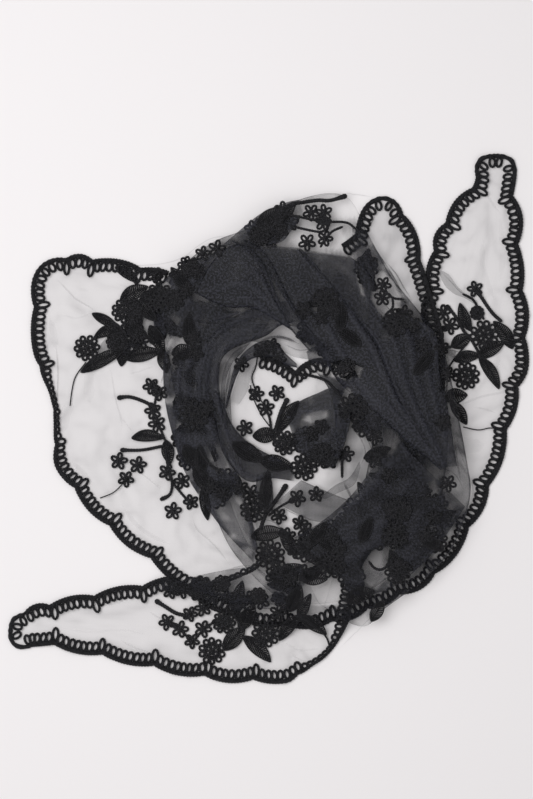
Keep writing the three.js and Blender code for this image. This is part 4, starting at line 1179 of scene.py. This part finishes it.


# stitches along a thread from the turn at each point: their height, and a painted highlight on the stitch
# tops, with painted shade between them
def makeStitchGroup():
    group, given, result = makeGroup("stitches", ["Turn", "Depth"], ["Height", "Shade"])
    wave = addMath(group, "SINE", addMath(group, "MULTIPLY", given.outputs["Turn"], 2 * math.pi))
    place = group.nodes.new("ShaderNodeTexCoord").outputs["Object"]
    frayAndGlints = addNoise(group, place, stitchShape["frayAndGlintScale"], stitchShape["frayAndGlintDetail"])
    raised = addMath(group, "MULTIPLY_ADD", wave, 0.5, 0.5)
    litRidge = addMath(group, "MULTIPLY", raised, given.outputs["Depth"])
    height = addMath(group, "MULTIPLY_ADD", frayAndGlints, stitchShape["frayHeight"], litRidge)
    group.links.new(height, result.inputs["Height"])
    # painted glints: specks of the noise, on the stitch tops, turn the thread to its highlight colour
    stitchGlints = addMath(group, "MULTIPLY_ADD", frayAndGlints, stitchShape["stitchGlintGain"], stitchShape["stitchGlintFrom"])
    litTops = addMath(group, "POWER", litRidge, stitchShape["shadePower"])
    group.links.new(addMath(group, "MULTIPLY", litTops, stitchGlints), result.inputs["Shade"])
    return group


weaveGroup = makeWeaveGroup()
stitchGroup = makeStitchGroup()


def setInputs(node, values):
    for socket, value in values.items():
        node.inputs[socket].default_value = value


def newMaterial(name, values):
    material = bpy.data.materials.new(name)
    material.use_nodes = True
    shader = material.node_tree.nodes["Principled BSDF"]
    setInputs(shader, values)
    return material, material.node_tree, shader


def placeGroup(tree, group, values):
    node = tree.nodes.new("ShaderNodeGroup")
    node.node_tree = group
    setInputs(node, values)
    return node


# the value that the mesh holds at each point
def pointValue(tree, name):
    node = tree.nodes.new("ShaderNodeAttribute")
    node.attribute_name = name
    return node.outputs["Fac"]


def mixColors(tree, factor, first, second):
    node = tree.nodes.new("ShaderNodeMix")
    node.data_type = "RGBA"
    node.inputs["A"].default_value = first
    node.inputs["B"].default_value = second
    tree.links.new(factor, node.inputs["Factor"])
    return node.outputs["Result"]


def addBump(tree, shader, height, strength, distance):
    bump = tree.nodes.new("ShaderNodeBump")
    bump.inputs["Strength"].default_value = strength
    bump.inputs["Distance"].default_value = distance
    tree.links.new(height, bump.inputs["Height"])
    tree.links.new(bump.outputs["Normal"], shader.inputs["Normal"])


# shadow is the organza's dark colour; glint is a painted glint colour that fine specks and wrinkle ridges
# turn to
organza = {
    "shadow": (0.0030, 0.0030, 0.0048, 1), "glint": (0.0250, 0.0255, 0.0350, 1),
    "paintedGlints": 0.9, "litRidge": 0.35,  # how far the specks and the wrinkles turn to the glint
    "passes": 0.905,  # share of the light that one flat layer lets through
    "bump": 0.25, "bumpDistance": 0.0001,
    "weave": {"Threads": 2600.0, "Strength": 0.5, "Drift": 0.35},
    "shader": {"Roughness": 0.62, "Specular IOR Level": 0.25, "Sheen Weight": 0.04, "Sheen Roughness": 0.45,
               "Sheen Tint": (0.72, 0.82, 1.0, 1)},
}


def makeOrganza():
    material, tree, shader = newMaterial("sheerOrganza", organza["shader"])
    weave = placeGroup(tree, weaveGroup, organza["weave"])
    # painted highlight: the organza turns to its glint colour along the folds' wrinkle ridges
    glint = addMath(tree, "MULTIPLY_ADD", weave.outputs["GlintSpecks"], organza["paintedGlints"],
                    addMath(tree, "MULTIPLY", pointValue(tree, "litRidge"), organza["litRidge"]))
    # base colour with painted glints on the specks and painted highlights on the wrinkle ridges
    paintedGlints = mixColors(tree, addMath(tree, "MINIMUM", glint, 1.0), organza["shadow"], organza["glint"])
    tree.links.new(paintedGlints, shader.inputs["Base Color"])
    layers = addMath(tree, "MULTIPLY", pointValue(tree, "gather"), weave.outputs["Cover"])
    passed = addMath(tree, "POWER", organza["passes"], layers)
    tree.links.new(addMath(tree, "SUBTRACT", 1.0, passed), shader.inputs["Alpha"])
    addBump(tree, shader, weave.outputs["Height"], organza["bump"], organza["bumpDistance"])
    return material


# threads: color is their dark colour, light is the colour of the highlight painted on the stitch tops
threadLook = {
    "color": (0.0010, 0.0010, 0.0015, 1), "light": (0.032, 0.031, 0.037, 1), "bump": 0.8,
    "stitches": {"Depth": 1.0},
    "shader": {"Roughness": 0.6, "Specular IOR Level": 0.22, "Sheen Weight": 0.02},
    "embroideryDistance": 0.0004, "edgingDistance": 0.0005,  # depth of the stitches
}


def makeThread(name, distance):
    material, tree, shader = newMaterial(name, threadLook["shader"])
    stitches = placeGroup(tree, stitchGroup, threadLook["stitches"])
    tree.links.new(pointValue(tree, "stitchTurn"), stitches.inputs["Turn"])
    # painted highlight and glints: the stitch tops turn to the light colour
    blend = mixColors(tree, stitches.outputs["Shade"], threadLook["color"], threadLook["light"])
    tree.links.new(blend, shader.inputs["Base Color"])
    addBump(tree, shader, stitches.outputs["Height"], threadLook["bump"], distance)
    return material


organzaMaterial = makeOrganza()
embroideryMaterial = makeThread("embroideryThread", threadLook["embroideryDistance"])
edgingMaterial = makeThread("edgingCord", threadLook["edgingDistance"])
print("materials made")


# a piece of cloth, with how many layers of it each point stands for
def addSheer(name, vertices, faces, density):
    piece = addPiece(name, vertices, faces, organzaMaterial, "organza")
    addAttribute(piece.data, "gather", density * shadeFactor(vertices[:, :2]))
    return piece


crowded = smooth(clothDensity - cloth["crowdedFrom"]) * cloth["mottle"]
clothDensity *= 1 - crowded * patches(clothVertices[:, None, :2])[:, 0]
scarf = addSheer("organzaSheet", clothVertices, clothFaces, clothDensity)
organzaFolds = addSheer("organzaFolds", foldVertices, foldFaces, foldValues[:, 0])
# the folds' wrinkle ridges, where a highlight is painted into the organza's colour
addAttribute(organzaFolds.data, "litRidge", foldValues[:, 1])
# fine dark fold lines, and wide faint strips of painted soft shade
creaseLinesAndShade = addSheer("creaseLinesAndShade", lineVertices, lineFaces, lineDensity)
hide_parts("organza_sheet")


# height of spots beside an edge: that of the edge, changed as the ground and the wrinkles change
def heightBeside(path, spots):
    root = path["spots"]
    rise = path["follow"] * (groundAt(spots) - groundAt(root[:, :2]))
    return root[:, 2] + rise + wrinkleGrid.read(spots) - wrinkleGrid.read(root)


# the edging of one edge: a thick outer cord in scallops, a loop beside the next along its inside, and a
# small loop that points inwards where two scallops meet
def makeEdging(name, stretch):
    path = edgePath(stretch, edging["cordStep"])
    threads = Threads()
    addCord(threads, path)
    addRings(threads, path)
    made = threads.piece(name, edgingMaterial, "edging_cord")
    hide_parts(*stretch["replaces"])
    return made


def addCord(threads, path):
    outer = path["spots"][:, :2] + path["out"] * cordOffset(path)[:, None]
    knots = 1 + edging["knotDepth"] * np.sin(path["at"] * 2 * math.pi / edging["knotPitch"])
    cord = np.column_stack([outer, heightBeside(path, outer) + edging["lift"]])
    width = edging["cordWidth"] * (edging["cordLeast"] + (1 - edging["cordLeast"]) * path["slim"]) * knots
    breaks = np.flatnonzero(np.diff(path["shown"].astype(int))) + 1
    for part in np.split(np.arange(len(cord)), breaks):
        if path["shown"][part[0]]:
            tube(threads, cord[part], width[part], edging["cordHeight"], edging["cordSides"],
                 slant=edging["cordSlant"])


def addRings(threads, path):
    offset = scallopOffset(path)
    length = path["at"][-1]
    count = int(length / edging["ringPitch"])
    for k in range(count):
        at = (k + 0.5) * length / count
        index = int(np.clip(np.searchsorted(path["at"], at), 0, len(path["at"]) - 1))
        if not path["shown"][index]:
            continue
        near = min(abs(at - end) for end in path["ends"])
        inward = edging["picotReach"] if near < edging["picotNear"] * edging["ringPitch"] else 0
        out, slim = path["out"][index], path["slim"][index]
        reach = (edging["ringLength"] + inward) / 2 * slim + edging["ringOverlap"]
        reachOut = offset[index] + (edging["ringLength"] - inward) / 2 * slim
        middle = path["spots"][index, :2] + out * reachOut
        direction = math.atan2(out[1], out[0]) + random.uniform(-1, 1) * edging["ringTurn"]
        breadth = edging["ringWidth"] / 2 * random.uniform(*edging["ringBreadths"])
        line = oval(middle, direction, reach, breadth, edging["ringSteps"])
        root = {key: np.repeat(path[key][index:index + 1], len(line), axis=0)
                for key in ("spots", "follow")}
        height = heightBeside(root, line) + edging["lift"] * (1 + edging["ringRise"] * (k % 2))
        tube(threads, np.column_stack([line, height]), edging["ringThread"],
             edging["ringThread"] * edging["ringFlatness"], closed=True)


edgings = [makeEdging(name, stretch) for name, stretch in edgeStretches.items()]
print("edgings made")

# embroidery that shows on the open parts of the scarf, in plan units: x, y and what each kind needs
sprays = {
    "roses": [  # x, y, size
        [124, 311, 0.9], [87, 348, 0.95], [188, 267, 0.75], [224, 622, 0.85], [212, 651, 1.0],
        [266, 633, 1.05],
        [285, 443, 0.9], [304, 467, 1.0], [253, 509, 0.95], [270, 554, 1.1], [484, 335, 1.08],
        [466, 376, 1.0],
        [258, 595, 0.6], [260, 236, 0.75], [477, 313, 0.5], [222, 583, 0.6], [116, 342, 0.7],
    ],
    "blossoms": [  # x, y
        [151, 386], [160, 393], [153, 411], [157, 424], [119, 461], [138, 465], [126, 479], [167, 472],
        [182, 481], [191, 502], [173, 511], [203, 254], [217, 249], [190, 614], [203, 608], [167, 622],
        [180, 629], [192, 641], [203, 629], [277, 393], [256, 394], [266, 408], [245, 428], [330, 461],
        [346, 454], [297, 498], [316, 494], [279, 516], [300, 523], [443, 313], [438, 330], [450, 326],
        [441, 348],
        [475, 289], [311, 213], [324, 213], [323, 223], [325, 239], [307, 243], [240, 487], [251, 493],
        [447, 374], [442, 422], [447, 483], [383, 285], [382, 298], [278, 612], [155, 275], [348, 366],
        [340, 370],
    ],
    "leaves": [  # x, y, angle, length, width, bend
        [127, 275, -34, 28, 0.8, 0.05], [134, 294, 28, 31, 1.2, 0.05], [105, 320, -27, 28, 0.75, 0],
        [110, 335, 10, 32, 0.9, 0.15], [104, 360, 28, 52, 1.05, 0.02], [143, 355, 12, 36, 1.2, 0.03],
        [157, 297, 12, 36, 1.3, 0.05], [157, 339, -62, 30, 1.1, 0], [164, 361, -75, 24, 1.0, 0],
        [183, 352, 10, 22, 1.3, 0], [148, 438, 0, 32, 0.95, 0.08], [168, 452, -80, 24, 1.0, 0],
        [205, 504, -80, 32, 0.8, 0], [191, 456, -60, 26, 1.1, 0], [202, 479, -62, 30, 1.2, 0],
        [234, 638, 48, 32, 1.3, 0], [247, 617, 60, 30, 1.2, 0], [257, 649, -43, 37, 1.15, 0.04],
        [290, 627, 50, 34, 1.0, 0.05], [305, 607, 68, 30, 0.9, 0.05], [313, 625, -35, 32, 1.05, 0.05],
        [295, 598, 66, 28, 1.3, 0], [377, 610, 60, 24, 1.0, 0], [288, 417, 56, 38, 1.1, 0.05],
        [266, 435, 5, 26, 1.25, 0], [268, 534, 8, 34, 1.25, 0.04], [283, 574, 4, 30, 1.4, 0],
        [313, 577, -4, 28, 1.2, 0], [465, 317, 111, 29, 0.9, 0.04], [503, 335, 125, 33, 1.1, -0.06],
        [461, 341, 30, 22, 1.15, 0], [491, 350, 30, 30, 1.15, 0.04], [467, 358, 10, 27, 0.95, 0.06],
        [489, 373, -58, 37, 0.95, 0.06], [455, 396, 5, 24, 1.25, 0], [458, 413, -53, 28, 1.0, 0.05],
        [262, 233, 70, 22, 1.1, 0], [360, 595, 20, 30, 1.3, 0.05], [266, 490, 84, 40, 1.0, 0],
        [248, 452, -30, 36, 1.4, 0], [276, 463, -12, 34, 1.3, 0],
    ],
    "stems": [  # points, width, with a bud
        [[[117, 398], [130, 397], [145, 402], [157, 409]], 1.1, True],
        [[[120, 450], [142, 450], [163, 446]], 1.0, True],
        [[[153, 380], [156, 395], [154, 412], [160, 428], [166, 442]], 0.8, False],
        [[[160, 500], [170, 494], [172, 482], [168, 466], [165, 448]], 0.9, True],
        [[[172, 482], [182, 494], [191, 504]], 0.8, False],
        [[[155, 600], [166, 607], [176, 613], [188, 616]], 1.2, True],
        [[[167, 622], [180, 629], [192, 640], [203, 630], [216, 620]], 0.8, False],
        [[[226, 606], [236, 618], [243, 632]], 0.8, False],
        [[[300, 615], [303, 618], [324, 634], [330, 647]], 0.6, False],
        [[[288, 398], [281, 412], [275, 432]], 1.3, True],
        [[[266, 408], [270, 420], [272, 436], [280, 448]], 0.8, False],
        [[[287, 484], [276, 500], [266, 514], [260, 530]], 1.3, True],
        [[[297, 498], [288, 502], [278, 508], [268, 516]], 0.8, False],
        [[[446, 305], [455, 316], [463, 330], [469, 338]], 1.0, True],
        [[[475, 289], [481, 297], [487, 306], [493, 314], [502, 322]], 1.1, True],
        [[[462, 294], [472, 299], [478, 308], [484, 320]], 0.8, False],
        [[[441, 348], [450, 347], [458, 343], [468, 337], [476, 348], [480, 357]], 0.9, False],
        [[[467, 343], [459, 353], [452, 362], [446, 370]], 0.6, False],
        [[[347, 196], [330, 201], [316, 201], [290, 205]], 1.2, True],
        [[[282, 214], [302, 218], [324, 222], [346, 223], [356, 230]], 0.8, False],
        [[[290, 226], [306, 230], [322, 232], [330, 224]], 0.8, False],
        [[[343, 227], [332, 232], [325, 240], [320, 248]], 0.8, False],
        [[[384, 290], [392, 298], [404, 300]], 0.8, False],
        [[[392, 298], [392, 308], [384, 316]], 0.8, False],
        [[[258, 352], [256, 366], [252, 378], [256, 392]], 0.45, False],
        [[[296, 374], [312, 376], [326, 381], [336, 391], [344, 402]], 0.9, False],
        [[[344, 450], [342, 462], [342, 478]], 0.9, False],
        [[[199, 448], [208, 462], [222, 472]], 0.8, False],
        [[[368, 560], [374, 567], [382, 568], [392, 560]], 0.9, False],
    ],
    "threads": [
        [[126, 480], [114, 492], [100, 498]], [[463, 427], [478, 430], [490, 428], [500, 430]],
        [[250, 385], [254, 400], [262, 416], [274, 432]], [[256, 394], [262, 402], [266, 408]],
        [[86, 362], [76, 376], [72, 390], [70, 406]], [[300, 528], [306, 540], [302, 556]],
    ],
}

# what fills the dense parts of the ring: outline in plan units, how many of each kind, and after how many
# under the folds one lies over them
fills = [
    {"outline": [[122, 328], [136, 304], [154, 292], [186, 270], [204, 270], [196, 296], [172, 322],
                 [160, 346],
                 [140, 342]], "roses": 2, "blossoms": 9, "leaves": 7, "under": 1},
    {"outline": [[96, 360], [118, 336], [142, 300], [170, 284], [182, 296], [174, 326], [160, 350],
                 [130, 352]],
     "roses": 1, "blossoms": 6, "leaves": 5, "under": 1},
    {"outline": [[242, 250], [252, 228], [268, 216], [286, 208], [298, 208], [292, 234], [270, 248]],
     "roses": 0, "blossoms": 14, "leaves": 4, "under": 1},
    {"outline": [[180, 326], [196, 326], [198, 360], [194, 410], [210, 460], [228, 496], [214, 496],
                 [186, 450],
                 [178, 400]], "roses": 4, "blossoms": 18, "leaves": 16, "under": 3},
    {"outline": [[205, 400], [218, 420], [230, 470], [242, 500], [250, 540], [240, 535], [216, 480]],
     "roses": 2, "blossoms": 8, "leaves": 5, "under": 3},
    {"outline": [[316, 545], [330, 530], [350, 512], [370, 484], [390, 470], [410, 474], [428, 500],
                 [448, 514],
                 [432, 544], [400, 574], [352, 588],
                 [336, 564]], "roses": 20, "blossoms": 40, "leaves": 40, "under": 5},
    {"outline": [[302, 306], [314, 296], [330, 300], [352, 324], [366, 350], [352, 384], [326, 352],
                 [304, 330]],
     "roses": 6, "blossoms": 14, "leaves": 10, "under": 3},
    {"outline": [[360, 246], [366, 252], [376, 266], [390, 296], [420, 334], [426, 372], [410, 350],
                 [380, 316],
                 [364, 280]], "roses": 3, "blossoms": 14, "leaves": 5, "under": 2},
    {"outline": [[346, 404], [372, 418], [392, 440], [380, 456], [372, 470], [376, 440], [362, 420]],
     "roses": 3, "blossoms": 10, "leaves": 6, "under": 1},
    {"outline": [[160, 590], [200, 585], [228, 590], [238, 594], [286, 598], [300, 600], [236, 604],
                 [204, 598]],
     "roses": 1, "blossoms": 12, "leaves": 2, "under": 20},
    {"outline": [[300, 430], [334, 422], [337, 450], [322, 460], [304, 450]],
     "roses": 2, "blossoms": 6, "leaves": 1, "under": 1},
    {"outline": [[284, 536], [300, 530], [322, 530], [342, 548], [340, 572], [312, 566], [292, 556]],
     "roses": 3, "blossoms": 8, "leaves": 5, "under": 1},
    {"outline": [[276, 576], [294, 566], [320, 572], [300, 586], [294, 600], [286, 588]],
     "roses": 1, "blossoms": 5, "leaves": 5, "under": 2},
    {"outline": [[240, 366], [246, 354], [262, 344], [276, 346], [288, 360], [262, 356], [248, 362]],
     "roses": 0, "blossoms": 4, "leaves": 0, "under": 0},
]
# the scattered motifs keep this margin, in plan units, from shades lighter than the share
clear = {"share": 0.5, "margin": 5, "turn": 0.8}
filling = {
    "tries": 40,  # for each motif
    "roseGap": 18, "blossomGap": 11, "leafGap": 16,  # plan units between motifs of a kind
    "roseSizes": (0.9, 1.15), "roseTurns": (0, 1), "blossomSizes": (0.9, 1.1), "blossomTurns": (0, 6),
    "sprayBlossomSizes": (0.95, 1.12), "leafAngles": (0, 180), "leafLengths": (24, 34),
}
lightShades = [shade for shade in shades if shade["factor"] < clear["share"]]


def inside(outline, x, y):
    hits = False
    for (ax, ay), (bx, by) in zip(outline, outline[1:] + outline[:1]):
        if (ay > y) != (by > y) and x < (bx - ax) * (y - ay) / (by - ay) + ax:
            hits = not hits
    return hits


# whether a motif there keeps off the light openings
def openSpot(x, y):
    margin = clear["margin"]
    turns = np.arange(0, 2 * math.pi, clear["turn"])
    around = [(x + margin * math.cos(turn), y + margin * math.sin(turn)) for turn in turns]
    return not any(inside(shade["outline"], *spot) for shade in lightShades for spot in around)


# random places inside an outline, apart from each other
def scatter(outline, count, apart):
    xs, ys = [x for x, _ in outline], [y for _, y in outline]
    spots = []
    for _ in range(count * filling["tries"]):
        x, y = random.uniform(min(xs), max(xs)), random.uniform(min(ys), max(ys))
        alone = all(math.hypot(x - u, y - v) > apart for u, v in spots)
        if alone and inside(outline, x, y) and openSpot(x, y):
            spots.append((x, y))
        if len(spots) == count:
            break
    return spots


roseThreads, blossomThreads, leafThreads = Threads(), Threads(), Threads()
for x, y, size in sprays["roses"]:
    addRose(roseThreads, foldGrid, x, y, size, random.uniform(*filling["roseTurns"]))
for x, y in sprays["blossoms"]:
    size, turn = random.uniform(*filling["sprayBlossomSizes"]), random.uniform(*filling["blossomTurns"])
    addBlossom(blossomThreads, foldGrid, x, y, size, turn)
for x, y, angle, length, width, bend in sprays["leaves"]:
    addLeaf(leafThreads, foldGrid, x, y, angle, length, width, bend)
for points, width, bud in sprays["stems"]:
    addStem(blossomThreads, foldGrid, points, width, bud)
for points in sprays["threads"]:
    addFineThread(blossomThreads, foldGrid, points)
for fill in fills:
    grids = [topGrid] * fill["under"] + [foldGrid]
    for k, (x, y) in enumerate(scatter(fill["outline"], fill["roses"], filling["roseGap"])):
        size, turn = random.uniform(*filling["roseSizes"]), random.uniform(*filling["roseTurns"])
        addRose(roseThreads, grids[k % len(grids)], x, y, size, turn)
    for k, (x, y) in enumerate(scatter(fill["outline"], fill["blossoms"], filling["blossomGap"])):
        size, turn = random.uniform(*filling["blossomSizes"]), random.uniform(*filling["blossomTurns"])
        addBlossom(blossomThreads, grids[k % len(grids)], x, y, size, turn)
    for k, (x, y) in enumerate(scatter(fill["outline"], fill["leaves"], filling["leafGap"])):
        angle, length = random.uniform(*filling["leafAngles"]), random.uniform(*filling["leafLengths"])
        addLeaf(leafThreads, grids[k % len(grids)], x, y, angle, length)


def nodesNamed(kind):
    return [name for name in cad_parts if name.startswith(kind)]


for name, threads, kind in (("embroideredRoses", roseThreads, "rose"),
                            ("embroideredLeaves", leafThreads, "leaf"),
                            ("embroideredBlossoms", blossomThreads, "blossom_spray")):
    piece = threads.piece(name, embroideryMaterial, "embroidery_thread")
    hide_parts(*nodesNamed(kind))
    print(name, len(piece.data.polygons), "faces")


room = {
    "size": 3.0, "bounces": 48,  # through sheer layers
    "floor": {"Base Color": (0.87, 0.842, 0.85, 1), "Roughness": 0.9, "Specular IOR Level": 0.1},
    "world": {"Color": (1.0, 1.0, 1.0, 1), "Strength": 0.455},
}
lamps = [  # name, place, size, watts
    ["overhead", (-0.65, 0.25, 1.6), 1.6, 20.5],
    ["fill", (1.2, -0.6, 1.3), 1.6, 2.2],
]


def makeRoom():
    half = room["size"] / 2
    ground = [(-half, -half, 0), (half, -half, 0), (half, half, 0), (-half, half, 0)]
    floor = addPiece("floor", ground, [(0, 1, 2, 3)], newMaterial("paleFloor", room["floor"])[0])
    world = bpy.data.worlds.new("studio")
    world.use_nodes = True
    setInputs(world.node_tree.nodes["Background"], room["world"])
    bpy.context.scene.world = world
    for name, place, size, watts in lamps:
        data = bpy.data.lights.new(name, "AREA")
        data.shape, data.size, data.energy = "DISK", size, watts
        lamp = bpy.data.objects.new(name, data)
        lamp.location = place
        lamp.rotation_euler = (-Vector(place)).to_track_quat("-Z", "Y").to_euler()
        bpy.context.collection.objects.link(lamp)
    bpy.context.scene.view_settings.view_transform = "Standard"
    bpy.context.scene.cycles.transparent_max_bounces = room["bounces"]


makeRoom()
print("room made")
